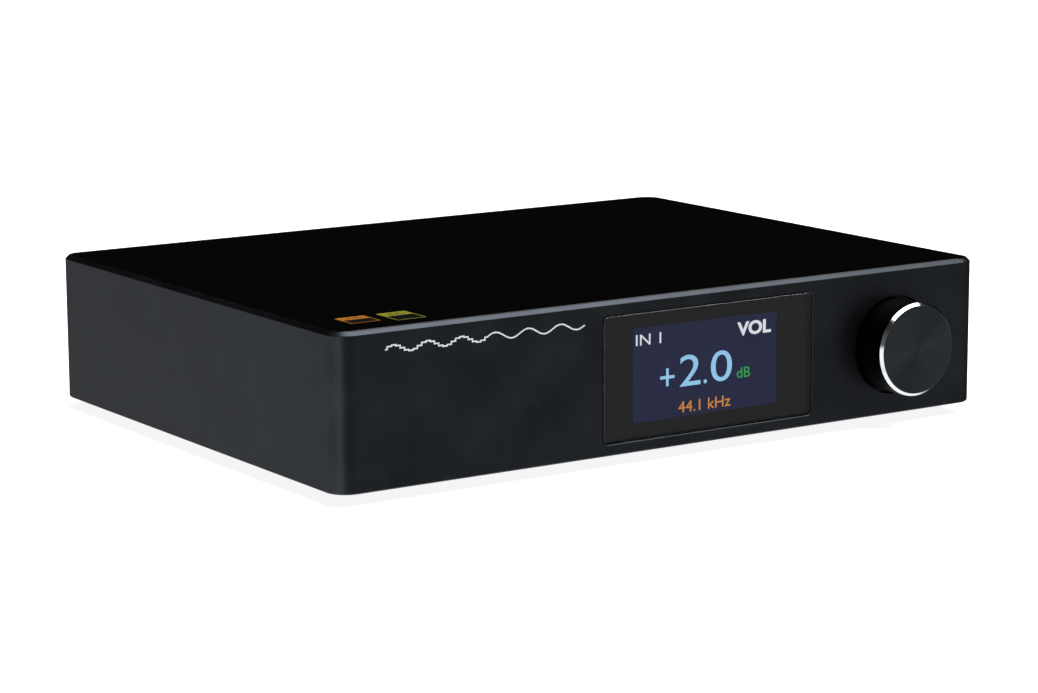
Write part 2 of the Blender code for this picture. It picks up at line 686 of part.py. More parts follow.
def panel_cutters():
    """The holes in the rear plate, one for each socket and screw."""
    low = -PANEL_THICKNESS - OVERCUT
    cutters = []
    rounds = (
        ("xlr_right", XLR_BODY_RADIUS, 32), ("xlr_left", XLR_BODY_RADIUS, 32),
        ("rca_right", PHONO_BARREL_RADIUS, 24), ("rca_left", PHONO_BARREL_RADIUS, 24),
        ("coaxial", PHONO_BARREL_RADIUS, 24), ("antenna", ANTENNA_RADIUS, 16),
    )
    for name, radius, steps in rounds:
        cutters.append(drill(radius + GAP, low, OVERCUT, on_rear(rear_places[name], panel_z), steps))
    snout_hole = OPTICAL_SIDE - 2 * BEZEL_OVERLAP + 2 * GAP
    squares = (
        ("usb", USB_WIDTH + 2 * GAP, USB_HEIGHT + 2 * GAP, usb_z),
        ("optical", snout_hole, snout_hole, optical_z),
        ("inlet", INLET_WIDTH - 2 * BEZEL_OVERLAP, INLET_HEIGHT - 2 * BEZEL_OVERLAP, panel_z),
        ("switch", SWITCH_WIDTH - 2 * BEZEL_OVERLAP, SWITCH_HEIGHT - 2 * BEZEL_OVERLAP, panel_z),
    )
    for name, width, height, z in squares:
        cutters.append(prism("hole", rectangle(width, height), low, OVERCUT, on_rear(rear_places[name], z)))
    for side in (-1, 1):
        for end in (-1, 1):
            place = on_rear(side * panel_screw_x, panel_z + end * panel_screw_z)
            cutters.append(drill(SMALL_SCREW_RADIUS + GAP, low, OVERCUT, place))
    return cutters


def make_rear_panel():
    """The plate that carries the sockets, let into the back of the shell."""
    outline = rounded_rectangle(panel_width, panel_height, PANEL_LIP, steps=3)
    panel = prism("rear_panel", outline, -PANEL_THICKNESS, 0.0, on_rear(0, panel_z))
    combine(panel, "DIFFERENCE", panel_cutters())
    finish(panel, *BLACK_ANODISED)


def make_rear_screws():
    """The pan-head screws at the corners of the rear plate."""
    for side, x in (("left", -panel_screw_x), ("right", panel_screw_x)):
        for end, z in (("low", panel_z - panel_screw_z), ("high", panel_z + panel_screw_z)):
            place = on_rear(x, z, depth=-GAP)
            pan_screw(f"rear_screw_{side}_{end}", SMALL_SCREW_RADIUS, PANEL_SCREW_LENGTH, place)


# ---------------------------------------------------------------------------------------------
# Display
# ---------------------------------------------------------------------------------------------
def make_display():
    """The smoked window, the panel behind it, its holder, the remote's receiver and the lamp."""
    face = on_front(window_x, window_z)
    lens_outline = rounded_rectangle(WINDOW_WIDTH, window_height, WINDOW_RADIUS)
    finish(prism("display_lens", lens_outline, -LENS_THICKNESS, 0.0, face), *GLOSS_BLACK)

    panel_front = -LENS_THICKNESS - GAP
    panel_back = panel_front - DISPLAY_THICKNESS
    width = WINDOW_WIDTH - 2 * DISPLAY_SIDE_BORDER
    height = window_height - 2 * DISPLAY_END_BORDER
    panel = prism("display_panel", rectangle(width, height), panel_back, panel_front, face)
    finish(panel, (0.03, 0.035, 0.07), 0.20)

    holder_low = -front_board_depth + GAP
    holder_high = panel_back - GAP
    holder = prism("display_holder", rectangle(width, height), holder_low, holder_high, face)
    inside = rectangle(width - 2 * HOLDER_WALL, height - 2 * HOLDER_WALL)
    hollow = prism("hollow", inside, holder_low - OVERCUT, holder_high + OVERCUT, face)
    combine(holder, "DIFFERENCE", [hollow])
    finish(holder, *BLACK_PLASTIC)

    sensor_width = 2 * (DISPLAY_SIDE_BORDER - SENSOR_INSET - GAP - SENSOR_SIDE_ROOM)
    sensor_face = on_front(window_x - WINDOW_WIDTH / 2 + SENSOR_INSET, window_z)
    receiver = prism("infrared_receiver", rectangle(sensor_width, SENSOR_HEIGHT), panel_front - SENSOR_LENGTH,
                     panel_front, sensor_face)
    lead = rectangle(LEAD_WIDTH, LEAD_HEIGHT)
    leads = prism("leads", lead, holder_low, panel_front - SENSOR_LENGTH / 2, sensor_face)
    combine(receiver, "UNION", [leads])
    finish(receiver, (0.02, 0.012, 0.015), 0.15)

    lamp_face = on_front(window_x + WINDOW_WIDTH / 2 - LAMP_INSET, window_z)
    pipe = prism("status_light_pipe", circle(LAMP_RADIUS, 16), holder_low, panel_front, lamp_face)
    finish(pipe, (0.75, 0.78, 0.80), 0.10)


def make_front_board():
    """The narrow board behind the front wall that carries the display and the encoder."""
    left = window_x - WINDOW_WIDTH / 2 - FRONT_BOARD_MARGIN
    right = knob_x + ENCODER_SIDE / 2 + FRONT_BOARD_CLEARANCE
    low = base_z + COVER_THICKNESS + STANDOFF_HEIGHT
    high = base_z + deck_height - FRONT_BOARD_CLEARANCE
    place = on_front((left + right) / 2, (low + high) / 2, depth=front_board_depth)
    board = prism("front_board", rectangle(right - left, high - low), -BOARD_THICKNESS, 0.0, place)
    screw_x, screw_z = front_board_screw_place()
    hole_place = on_front(screw_x, screw_z, depth=front_board_depth)
    hole = drill(SMALL_SCREW_RADIUS + GAP, -BOARD_THICKNESS - OVERCUT, OVERCUT, hole_place)
    combine(board, "DIFFERENCE", [hole])
    finish(board, *GREEN_BOARD)
    facing_back = Matrix.Rotation(math.pi, 4, "Y")
    head_place = on_front(screw_x, screw_z, depth=front_board_depth + BOARD_THICKNESS + GAP) @ facing_back
    pan_screw("front_board_screw", SMALL_SCREW_RADIUS, BOARD_SCREW_LENGTH, head_place)


def make_display_cable():
    """The flat cable that leaves the front board's back and bends down to the main board."""
    start_y = front_y + front_board_depth + BOARD_THICKNESS + GAP
    end_y = boards_front + 2 * CABLE_WIDTH
    low_z = board_top + GAP
    drop = deck_height / 3
    run = end_y - start_y
    steps = 12
    middle = []
    for step in range(steps + 1):
        share = step / steps
        ease = share * share * (3 - 2 * share)
        middle.append((start_y + run * share, low_z + CABLE_THICKNESS / 2 + drop * (1 - ease)))
    lower = [(y, z - CABLE_THICKNESS / 2) for y, z in middle]
    upper = [(y, z + CABLE_THICKNESS / 2) for y, z in reversed(middle)]
    place = Matrix.Translation((window_x, 0, 0)) @ Matrix(
        ((0, 0, 1, 0), (1, 0, 0, 0), (0, 1, 0, 0), (0, 0, 0, 1))
    )
    cable = prism("display_cable", lower + upper, -CABLE_WIDTH / 2, CABLE_WIDTH / 2, place)
    finish(cable, (0.75, 0.74, 0.70), 0.35)


# ---------------------------------------------------------------------------------------------
# Knob and encoder
# ---------------------------------------------------------------------------------------------
def make_encoder():
    """The rotary encoder: body with its threaded bush, nut, rotor and push plunger."""
    face = on_front(knob_x, knob_z)
    front = -FRONT_WALL - GAP
    back = -encoder_back
    outline = rounded_rectangle(ENCODER_SIDE, ENCODER_SIDE, ENCODER_CORNER, steps=2)
    body = prism("encoder_body", outline, back, front, face)
    bush_end = -RECESS_DEPTH + BUSH_LENGTH
    bush = prism("bush", circle(BUSH_RADIUS, 24), front - ENCODER_WALL / 2, bush_end, face)
    combine(body, "UNION", [bush])
    room = ROTOR_RADIUS + GAP
    bore = SHAFT_RADIUS + RUNNING_GAP
    hole = PLUNGER_RADIUS + GAP
    profile = [
        (0, back - OVERCUT), (hole, back - OVERCUT), (hole, back + ENCODER_WALL), (room, back + ENCODER_WALL),
        (room, front - ENCODER_WALL), (bore, front - ENCODER_WALL), (bore, bush_end + OVERCUT),
        (0, bush_end + OVERCUT),
    ]
    combine(body, "DIFFERENCE", [turned("hollow", profile, face, steps=32)])
    finish(body, *ZINC_STEEL)

    nut_low = -RECESS_DEPTH + GAP
    nut = prism("encoder_nut", hexagon(NUT_ACROSS_FLATS), nut_low, nut_low + NUT_THICKNESS, face)
    thread = drill(BUSH_RADIUS + GAP, nut_low - OVERCUT, nut_low + NUT_THICKNESS + OVERCUT, face, steps=24)
    finish(combine(nut, "DIFFERENCE", [thread]), *NICKEL)

    rotor_high = front - ENCODER_WALL - GAP
    rotor_low = rotor_high - ROTOR_THICKNESS
    rotor = prism("encoder_rotor", circle(ROTOR_RADIUS, 32), rotor_low, rotor_high, face)
    key = d_outline(SHAFT_RADIUS + RUNNING_GAP, SHAFT_FLAT + RUNNING_GAP)
    combine(rotor, "DIFFERENCE", [prism("key", key, rotor_low - OVERCUT, rotor_high + OVERCUT, face)])
    finish(rotor, (0.75, 0.72, 0.60), 0.40)

    plunger_high = shaft_back - GAP
    plunger = prism("encoder_switch_plunger", circle(PLUNGER_RADIUS, 16), plunger_high - PLUNGER_LENGTH,
                    plunger_high, face)
    finish(plunger, (0.70, 0.70, 0.68), 0.40)


def make_knob():
    """The turned knob, the encoder's shaft inside it and the grub screw that joins them."""
    face = on_front(knob_x, knob_z)
    room = NUT_ACROSS_FLATS / math.sqrt(3) + 2 * GAP
    profile = [
        (room, -KNOB_SEAT), (KNOB_RADIUS - GAP, -KNOB_SEAT), (KNOB_RADIUS, -KNOB_SEAT + GAP),
        (KNOB_RADIUS, KNOB_STAND_OUT - KNOB_CHAMFER), (KNOB_RADIUS - KNOB_CHAMFER, KNOB_STAND_OUT),
        (0, KNOB_STAND_OUT),
    ]
    inside = [(0, knob_hollow_end), (room, knob_hollow_end)]
    knob = turned("knob", inside + profile, face, steps=64)
    bore_end = KNOB_STAND_OUT - KNOB_FACE_THICKNESS
    bore = d_outline(SHAFT_RADIUS + GAP, SHAFT_FLAT + GAP)
    grip = (knob_hollow_end + bore_end) / 2
    downward = face @ Matrix.Translation((0, 0, grip)) @ Matrix.Rotation(math.radians(90), 4, "X")
    combine(knob, "DIFFERENCE", [
        prism("bore", bore, knob_hollow_end - OVERCUT, bore_end, face),
        drill(GRUB_RADIUS + GAP, SHAFT_FLAT, KNOB_RADIUS + OVERCUT, downward),
    ])
    finish(knob, *BLACK_ANODISED)

    shaft = prism("encoder_shaft", d_outline(SHAFT_RADIUS, SHAFT_FLAT), shaft_back, bore_end - GAP, face)
    finish(shaft, *NICKEL)

    start = SHAFT_FLAT + GAP
    end = KNOB_RADIUS - GRUB_SKIN
    socket = GRUB_RADIUS * SOCKET_RATIO
    grub_profile = [
        (0, start), (GRUB_RADIUS, start), (GRUB_RADIUS, end), (socket, end), (socket, end - GRUB_RADIUS),
        (0, end - GRUB_RADIUS),
    ]
    finish(turned("knob_grub_screw", grub_profile, downward, steps=12), *ZINC_STEEL)


# ---------------------------------------------------------------------------------------------
# Circuit boards and what stands on them
# ---------------------------------------------------------------------------------------------
def socket_clearances():
    """Cutters that keep the boards clear of the deep bodies that pass over them."""
    back = -PANEL_THICKNESS - GAP - XLR_DEPTH - GAP
    round_hole = circle(XLR_BODY_RADIUS + GAP, 32)
    clearances = [
        prism("clearance", round_hole, back, OVERCUT, on_rear(rear_places[name], panel_z))
        for name in ("xlr_left", "xlr_right")
    ]
    bodies = (
        ("inlet", INLET_WIDTH - 2 * BEZEL_OVERLAP, INLET_HEIGHT - 2 * BEZEL_OVERLAP, INLET_DEPTH),
        ("switch", switch_body_width + 2 * GAP, switch_body_height + 2 * GAP, SWITCH_DEPTH),
    )
    for name, width, height, depth in bodies:
        place = on_rear(rear_places[name], panel_z)
        clearances.append(prism("clearance", rectangle(width, height), -depth - GAP, OVERCUT, place))
    return clearances


def make_boards():
    """The main board on the right and the power board on the left, each notched round a pillar."""
    rear = cavity_rear - BOARD_EDGE
    outer = cavity_width / 2 - BOARD_EDGE
    main_left = board_split + BOARD_EDGE / 2
    power_right = board_split - BOARD_EDGE / 2
    bottom = base_z + board_height
    boards = (("main_board", main_left, outer, 1), ("power_board", -outer, power_right, -1))
    for name, left, right, side in boards:
        outline = notched_rectangle((left, boards_front), (right, rear), CORNER_PILLAR, ((side, 1),))
        board = prism(name, outline, 0.0, BOARD_THICKNESS, upright(0, 0, bottom))
        holes = [
            drill(SMALL_SCREW_RADIUS + GAP, -OVERCUT, BOARD_THICKNESS + OVERCUT, upright(x, y, bottom))
            for screw, x, y in board_screw_places() if screw.startswith(name)
        ]
        if name == "main_board":
            combine(board, "UNION", chips())
        finish(combine(board, "DIFFERENCE", holes + socket_clearances()), *GREEN_BOARD)
    for screw, x, y in board_screw_places():
        pan_screw(screw, SMALL_SCREW_RADIUS, BOARD_SCREW_LENGTH, upright(x, y, board_top + GAP))


def chips():
    """The two square chips soldered to the main board: the converter and the digital interface."""
    packages = []
    chip_y = boards_front + 3 * CABLE_WIDTH
    converter_x = board_split + 4 * BOARD_SCREW_INSET
    for x, side in ((converter_x, CONVERTER_SIDE), (knob_x - ENCODER_SIDE, INTERFACE_SIDE)):
        place = upright(x, chip_y, board_top)
        packages.append(prism("chip", rectangle(side, side), -BOARD_THICKNESS / 2, CHIP_HEIGHT, place))
    return packages


def capacitor(name, radius, headroom, x, y):
    """A round can that stands on a board and ends at the given headroom under the deck."""
    top = part_room - headroom
    profile = [(0, 0), (radius, 0), (radius, top - GAP), (radius - GAP, top), (0, top)]
    return turned(name, profile, upright(x, y, board_top + GAP), steps=24)


def make_main_board_parts():
    """The two smoothing capacitors and the two output relays on the main board."""
    row_y = cavity_rear - XLR_DEPTH - SOCKET_CLEARANCE
    for number in (1, 2):
        x = board_split + number * SMOOTHING_SPACING
        can = capacitor(f"smoothing_capacitor_{number}", SMOOTHING_RADIUS, SMOOTHING_HEADROOM, x, row_y)
        finish(can, (0.10, 0.09, 0.06), 0.30)
    relay = rectangle(RELAY_WIDTH, RELAY_DEPTH)
    for number, x in enumerate((rear_places["xlr_left"], rear_places["xlr_right"] - XLR_RADIUS / 2), start=1):
        place = upright(x, row_y, board_top + GAP)
        finish(prism(f"output_relay_{number}", relay, 0.0, RELAY_HEIGHT, place), (0.75, 0.75, 0.72), 0.35)


def make_power_parts():
    """The switching transformer and the mains capacitor on the power board."""
    centre_x = (-cavity_width / 2 + board_split + BOARD_SCREW_INSET) / 2
    core_y = cavity_rear - INLET_DEPTH - INLET_CLEARANCE
    core_top = part_room - CORE_HEADROOM
    place = upright(centre_x, core_y, board_top + GAP)
    core = prism("power_transformer", rectangle(CORE_WIDTH, CORE_DEPTH), 0.0, core_top, place)
    winding = rectangle(BOBBIN_WIDTH, BOBBIN_DEPTH)
    bobbin = prism("bobbin", winding, BOBBIN_RECESS, core_top - BOBBIN_RECESS, place)
    finish(combine(core, "UNION", [bobbin]), (0.12, 0.11, 0.10), 0.50)
    can_y = core_y - BOBBIN_DEPTH / 2 - MAINS_CAN_CLEARANCE - MAINS_CAN_RADIUS
    can = capacitor("mains_capacitor", MAINS_CAN_RADIUS, MAINS_CAN_HEADROOM, centre_x, can_y)
    finish(can, (0.02, 0.02, 0.05), 0.30)


# ---------------------------------------------------------------------------------------------
# Sockets, drawn as seen from behind
# ---------------------------------------------------------------------------------------------
def make_xlr(side):
    """A balanced output: metal housing and an insulator with three pins."""
    place = on_rear(rear_places[f"xlr_{side}"], panel_z)
    back = -PANEL_THICKNESS - GAP - XLR_DEPTH
    floor = FLANGE_STAND_OUT + GAP - XLR_BORE_DEPTH
    profile = [
        (0, back), (XLR_BODY_RADIUS, back), (XLR_BODY_RADIUS, GAP), (XLR_RADIUS, GAP),
        (XLR_RADIUS, FLANGE_STAND_OUT), (XLR_RADIUS - GAP, FLANGE_STAND_OUT + GAP),
        (XLR_BORE_RADIUS, FLANGE_STAND_OUT + GAP), (XLR_BORE_RADIUS, floor), (0, floor),
    ]
    housing = turned(f"xlr_{side}_housing", profile, place, steps=32)
    height = panel_z - board_top - GAP
    block = rectangle(XLR_RADIUS, height, (0, -height / 2))
    combine(housing, "UNION", [prism("block", block, back, floor - GAP, place)])
    finish(housing, *BLACK_PLASTIC)

    disc_top = floor + GAP + XLR_INSERT_THICKNESS
    disc = prism(f"xlr_{side}_insert", circle(XLR_BORE_RADIUS - GAP, 32), floor + GAP, disc_top, place)
    pins = []
    for angle in (30, 150, 270):
        turn = math.radians(angle)
        centre = (XLR_PIN_CIRCLE * math.cos(turn), XLR_PIN_CIRCLE * math.sin(turn))
        pin = circle(XLR_PIN_RADIUS, 12, centre)
        pins.append(prism("pin", pin, floor + JOIN, disc_top + XLR_PIN_LENGTH, place))
    finish(combine(disc, "UNION", pins), *NICKEL)


def make_phono(name, place_name):
    """A round phono socket: flange, barrel with its centre hole, and the block behind the plate."""
    place = on_rear(rear_places[place_name], panel_z)
    inside = -PANEL_THICKNESS - GAP
    profile = [
        (0, inside - JOIN), (PHONO_BARREL_RADIUS, inside - JOIN), (PHONO_BARREL_RADIUS, GAP),
        (PHONO_FLANGE_RADIUS, GAP), (PHONO_FLANGE_RADIUS, FLANGE_STAND_OUT),
        (PHONO_BARREL_RADIUS, FLANGE_STAND_OUT), (PHONO_BARREL_RADIUS, JACK_STAND_OUT - GAP),
        (PHONO_BARREL_RADIUS - GAP, JACK_STAND_OUT), (0, JACK_STAND_OUT),
    ]
    jack = turned(name, profile, place, steps=24)
    side = 2 * PHONO_FLANGE_RADIUS
    height = panel_z + PHONO_FLANGE_RADIUS - board_top - GAP
    block = rectangle(side, height, (0, PHONO_FLANGE_RADIUS - height / 2))
    combine(jack, "UNION", [prism("block", block, inside - PHONO_BODY_DEPTH, inside, place)])
    combine(jack, "DIFFERENCE", [drill(PHONO_HOLE_RADIUS, inside, JACK_STAND_OUT + OVERCUT, place)])
    finish(jack, *GOLD_PLATE)


def make_antenna_socket():
    """The threaded radio socket and the nut that holds it to the plate."""
    place = on_rear(rear_places["antenna"], panel_z)
    inside = -PANEL_THICKNESS - GAP
    shoulder = ANTENNA_ACROSS_FLATS / 2
    shoulder_back = inside - ANTENNA_SHOULDER
    stub_back = shoulder_back - ANTENNA_STUB_LENGTH
    profile = [
        (0, stub_back), (ANTENNA_STUB_RADIUS, stub_back), (ANTENNA_STUB_RADIUS, shoulder_back),
        (shoulder, shoulder_back), (shoulder, inside), (ANTENNA_RADIUS, inside),
        (ANTENNA_RADIUS, JACK_STAND_OUT - GAP),
        (ANTENNA_RADIUS - GAP, JACK_STAND_OUT), (ANTENNA_HOLE_RADIUS, JACK_STAND_OUT),
        (ANTENNA_HOLE_RADIUS, FLANGE_STAND_OUT), (0, FLANGE_STAND_OUT),
    ]
    finish(turned("antenna_socket", profile, place, steps=16), *GOLD_PLATE)
    nut = prism("antenna_nut", hexagon(ANTENNA_ACROSS_FLATS), GAP, GAP + NUT_THICKNESS, place)
    thread = drill(ANTENNA_RADIUS + GAP, -OVERCUT, GAP + NUT_THICKNESS + OVERCUT, place, steps=16)
    finish(combine(nut, "DIFFERENCE", [thread]), *GOLD_PLATE)


def make_usb_socket():
    """The square digital input: a metal shell round a mouth with cut top corners and a tongue."""
    place = on_rear(rear_places["usb"], usb_z)
    outside = FLANGE_STAND_OUT / 2
    low = -PANEL_THICKNESS - USB_DEPTH
    shell = prism("usb_socket", rectangle(USB_WIDTH, USB_HEIGHT), low, outside, place)
    x = USB_MOUTH_WIDTH / 2
    y = USB_MOUTH_HEIGHT / 2
    corner = USB_MOUTH_CORNER
    mouth = [(-x, -y), (x, -y), (x, y - corner), (x - corner, y), (-x + corner, y), (-x, y - corner)]
    combine(shell, "DIFFERENCE", [prism("mouth", mouth, outside - USB_MOUTH_DEPTH, outside + OVERCUT, place)])
    tongue = rectangle(USB_MOUTH_WIDTH - 2 * USB_TONGUE_SIDE_ROOM, USB_MOUTH_HEIGHT - 2 * USB_TONGUE_END_ROOM)
    floor = outside - USB_MOUTH_DEPTH
    combine(shell, "UNION", [prism("tongue", tongue, floor - OVERCUT, outside - OVERCUT, place)])
    finish(shell, *NICKEL)


def make_optical_socket():
    """The optical input and the sprung shutter that a plug pushes in."""
    place = on_rear(rear_places["optical"], optical_z)
    inside = -PANEL_THICKNESS - GAP
    outside = FLANGE_STAND_OUT / 2
    section = rectangle(OPTICAL_SIDE, OPTICAL_SIDE)
    body = prism("optical_socket", section, inside - OPTICAL_DEPTH, inside, place)
    snout_side = OPTICAL_SIDE - 2 * BEZEL_OVERLAP
    snout = prism("snout", rectangle(snout_side, snout_side), inside - JOIN, outside, place)
    combine(body, "UNION", [snout])
    mouth = rectangle(OPTICAL_MOUTH, OPTICAL_MOUTH)
    pin_length = OPTICAL_MOUTH + 2 * SHUTTER_PIN_REACH
    sideways = place @ shutter_hinge()
    combine(body, "DIFFERENCE", [
        prism("mouth", mouth, outside - OPTICAL_MOUTH_DEPTH, outside + OVERCUT, place),
        drill(SHUTTER_PIN_RADIUS + RUNNING_GAP, -pin_length / 2, pin_length / 2, sideways),
    ])
    finish(body, *BLACK_PLASTIC)

    flap_width = OPTICAL_MOUTH - 2 * GAP
    above = SHUTTER_PIN_RADIUS
    flap_height = OPTICAL_MOUTH / 2 + shutter_pivot_height - GAP
    profile = [
        (-flap_height, -SHUTTER_THICKNESS / 2), (above, -SHUTTER_THICKNESS / 2),
        (above, SHUTTER_THICKNESS / 2), (-flap_height, SHUTTER_THICKNESS / 2),
    ]
    flap = prism("optical_shutter", profile, -flap_width / 2, flap_width / 2, sideways)
    pin_end = (pin_length - GAP) / 2
    pin = prism("pin", circle(SHUTTER_PIN_RADIUS, 12), -pin_end, pin_end, sideways)
    finish(combine(flap, "UNION", [pin]), *BLACK_PLASTIC)


def shutter_hinge():
    """The shutter's frame in the socket's: its Z along the pivot, its X up."""
    turn = Matrix(((0, 0, 1, 0), (1, 0, 0, 0), (0, 1, 0, 0), (0, 0, 0, 1)))
    return Matrix.Translation((0, shutter_pivot_height, -SHUTTER_THICKNESS)) @ turn


def make_mains_inlet():
    """The two-pin mains inlet: a bezel, a body through the plate and a mouth with two pins."""
    place = on_rear(rear_places["inlet"], panel_z)
    outline = rounded_rectangle(INLET_WIDTH, INLET_HEIGHT, INLET_CORNER, steps=3)
    bezel = prism("mains_inlet", outline, GAP, FLANGE_STAND_OUT + GAP, place)
    width = INLET_WIDTH - 2 * BEZEL_OVERLAP - 2 * GAP
    height = INLET_HEIGHT - 2 * BEZEL_OVERLAP - 2 * GAP
    body = prism("body", rectangle(width, height), -INLET_DEPTH, FLANGE_STAND_OUT, place)
    combine(bezel, "UNION", [body])
    floor = FLANGE_STAND_OUT + GAP - INLET_MOUTH_DEPTH
    mouth = rounded_rectangle(INLET_MOUTH_WIDTH, INLET_MOUTH_HEIGHT, INLET_MOUTH_HEIGHT / 2 - GAP)
    combine(bezel, "DIFFERENCE", [prism("mouth", mouth, floor, FLANGE_STAND_OUT + OVERCUT, place)])
    pins = [
        prism("pin", circle(INLET_PIN_RADIUS, 12, (side * INLET_PIN_SPACING / 2, 0)), floor - OVERCUT,
              floor + INLET_PIN_LENGTH, place)
        for side in (-1, 1)
    ]
    finish(combine(bezel, "UNION", pins), *BLACK_PLASTIC)


def make_power_switch():
    """The rear power switch: a bezel with a hollow, and the rocker that tips in it."""
    place = on_rear(rear_places["switch"], panel_z)
    bezel = rounded_rectangle(SWITCH_WIDTH, SWITCH_HEIGHT, SWITCH_CORNER, steps=2)
    switch = prism("power_switch", bezel, GAP, FLANGE_STAND_OUT + GAP, place)
    section = rectangle(switch_body_width, switch_body_height)
    combine(switch, "UNION", [prism("body", section, -SWITCH_DEPTH, FLANGE_STAND_OUT, place)])
    hollow = rectangle(ROCKER_WIDTH + 2 * GAP, switch_body_height - 2 * SWITCH_END_WALL)
    pivot = place @ Matrix.Translation((0, 0, -PIVOT_DEPTH)) @ Matrix.Rotation(math.radians(90), 4, "Y")
    reach = ROCKER_WIDTH / 2 + GAP + ROCKER_PIN_REACH
    combine(switch, "DIFFERENCE", [
        prism("hollow", hollow, -SWITCH_DEPTH / 2 - PIVOT_DEPTH, FLANGE_STAND_OUT + OVERCUT, place),
        drill(ROCKER_PIN_RADIUS + RUNNING_GAP, -reach, reach, pivot, steps=16),
    ])
    finish(switch, *BLACK_PLASTIC)

    tilted = pivot @ Matrix.Rotation(math.radians(-ROCKER_TILT), 4, "Z")
    half = ROCKER_HALF_LENGTH
    outline = [
        (-ROCKER_END_RISE, half), (-ROCKER_WAIST_RISE, 0.0), (-ROCKER_END_RISE, -half),
        (ROCKER_HEEL_DEPTH, -half), (ROCKER_KEEL_DEPTH, -ROCKER_KEEL), (ROCKER_KEEL_DEPTH, ROCKER_KEEL),
        (ROCKER_HEEL_DEPTH, half),
    ]
    rocker = prism("power_rocker", outline, -ROCKER_WIDTH / 2, ROCKER_WIDTH / 2, tilted)
    pin_end = reach - GAP / 2
    pin = prism("pin", circle(ROCKER_PIN_RADIUS, 16), -pin_end, pin_end, tilted)
    finish(combine(rocker, "UNION", [pin]), *BLACK_PLASTIC)


def main():
    """Clear the scene and build every piece."""
    for leftover in list(bpy.data.objects):
        bpy.data.objects.remove(leftover)
    make_chassis_shell()
    make_top_glass()
    make_bottom_cover()
    make_feet()
    make_cover_screws()
    make_rear_panel()
    make_rear_screws()
    make_display()
    make_front_board()
    make_display_cable()
    make_encoder()
    make_knob()
    make_boards()
    make_main_board_parts()
    make_power_parts()
    for side in ("left", "right"):
        make_xlr(side)
        make_phono(f"rca_{side}", f"rca_{side}")
    make_phono("coaxial_jack", "coaxial")
    make_antenna_socket()
    make_usb_socket()
    make_optical_socket()
    make_mains_inlet()
    make_power_switch()


main()
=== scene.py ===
# %% [markdown]
# # A desktop converter
# The part is a small hi-fi unit that turns a digital signal into sound: a machined aluminium box with a glass
# top, a dark window with a lit display, and one large knob. Its solids are already packed, in metres. This
# lesson gives them the surfaces that the eye expects, one piece at a time, without moving a solid.

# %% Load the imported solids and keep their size
import math

import bmesh
import bpy
import numpy as np
from mathutils import Matrix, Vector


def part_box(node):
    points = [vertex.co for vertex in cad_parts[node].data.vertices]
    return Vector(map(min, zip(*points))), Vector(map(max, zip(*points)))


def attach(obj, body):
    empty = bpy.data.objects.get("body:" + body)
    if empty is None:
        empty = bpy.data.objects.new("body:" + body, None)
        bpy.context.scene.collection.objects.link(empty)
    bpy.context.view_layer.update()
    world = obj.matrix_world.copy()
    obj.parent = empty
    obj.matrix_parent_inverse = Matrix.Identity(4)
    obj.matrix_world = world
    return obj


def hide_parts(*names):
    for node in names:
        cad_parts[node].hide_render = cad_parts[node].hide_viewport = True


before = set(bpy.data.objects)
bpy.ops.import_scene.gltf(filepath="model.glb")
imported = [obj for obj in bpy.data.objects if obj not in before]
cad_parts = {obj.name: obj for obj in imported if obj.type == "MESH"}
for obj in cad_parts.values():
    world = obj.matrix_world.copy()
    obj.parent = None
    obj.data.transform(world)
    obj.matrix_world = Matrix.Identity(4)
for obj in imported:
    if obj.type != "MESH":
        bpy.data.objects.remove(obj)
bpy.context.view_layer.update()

MM = 0.001
print("solids loaded:", len(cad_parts))

# %% [markdown]
# ## Two ways to make a surface
# Nearly everything on this unit was either milled or turned. A milled plate is one rounded rectangle, drawn
# again and again at other insets and heights. A turned piece is one profile carried round an axis. Both are
# grids of points, so both are worked out as whole arrays. Modifiers on primitive cubes would also work, but
# their rounding follows the mesh, and here it should follow the drawing. Drawings are in millimetres, as a
# maker's are, and become metres when they are placed.

# %% Outlines, profiles and the frames they are drawn in
UPRIGHT = np.eye(3)
FRONT = np.array([[1.0, 0, 0], [0, 0, -1], [0, 1, 0]])  # X right, Y up, Z out of the front
REAR = np.array([[-1.0, 0, 0], [0, 0, 1], [0, 1, 0]])  # the same, seen from behind
UNDER = np.array([[1.0, 0, 0], [0, -1, 0], [0, 0, -1]])  # the same, seen from below


def rounded_outline(width, height, radius, steps):
    """Each corner is a quarter circle: its centre plus the radius times the cosine and sine of the angle."""
    angle = np.arange(4)[:, None] * np.pi / 2 + np.linspace(0, np.pi / 2, steps + 1)
    signs = np.array([(1, 1), (-1, 1), (-1, -1), (1, -1)])
    centre = signs * (width / 2 - radius, height / 2 - radius)
    points = centre[:, None] + radius * np.stack([np.cos(angle), np.sin(angle)], -1)
    return points.reshape(-1, 2)


def rectangle(left, low, right, high):
    """Its four corners in turn. As a profile that starts at the axis it is a bar, and off the axis a tube."""
    return [(left, low), (right, low), (right, high), (left, high)]


def eased(points, radius, steps=3, closed=False):
    """Each corner becomes a parabola that starts `radius` before the corner and ends `radius` after it."""
    points = np.array(points, float)
    before, after = np.roll(points, 1, 0) - points, np.roll(points, -1, 0) - points
    span_before = np.linalg.norm(before, axis=1, keepdims=True)
    span_after = np.linalg.norm(after, axis=1, keepdims=True)
    reach = np.minimum(radius, 0.45 * np.minimum(span_before, span_after))
    start = points + before / span_before * reach
    end = points + after / span_after * reach
    share = np.linspace(0, 1, steps + 1)[None, :, None]
    rest = 1 - share
    curve = rest**2 * start[:, None] + 2 * share * rest * points[:, None] + share**2 * end[:, None]
    if closed:
        return curve.reshape(-1, 2)
    return np.vstack([points[:1], curve[1:-1].reshape(-1, 2), points[-1:]])


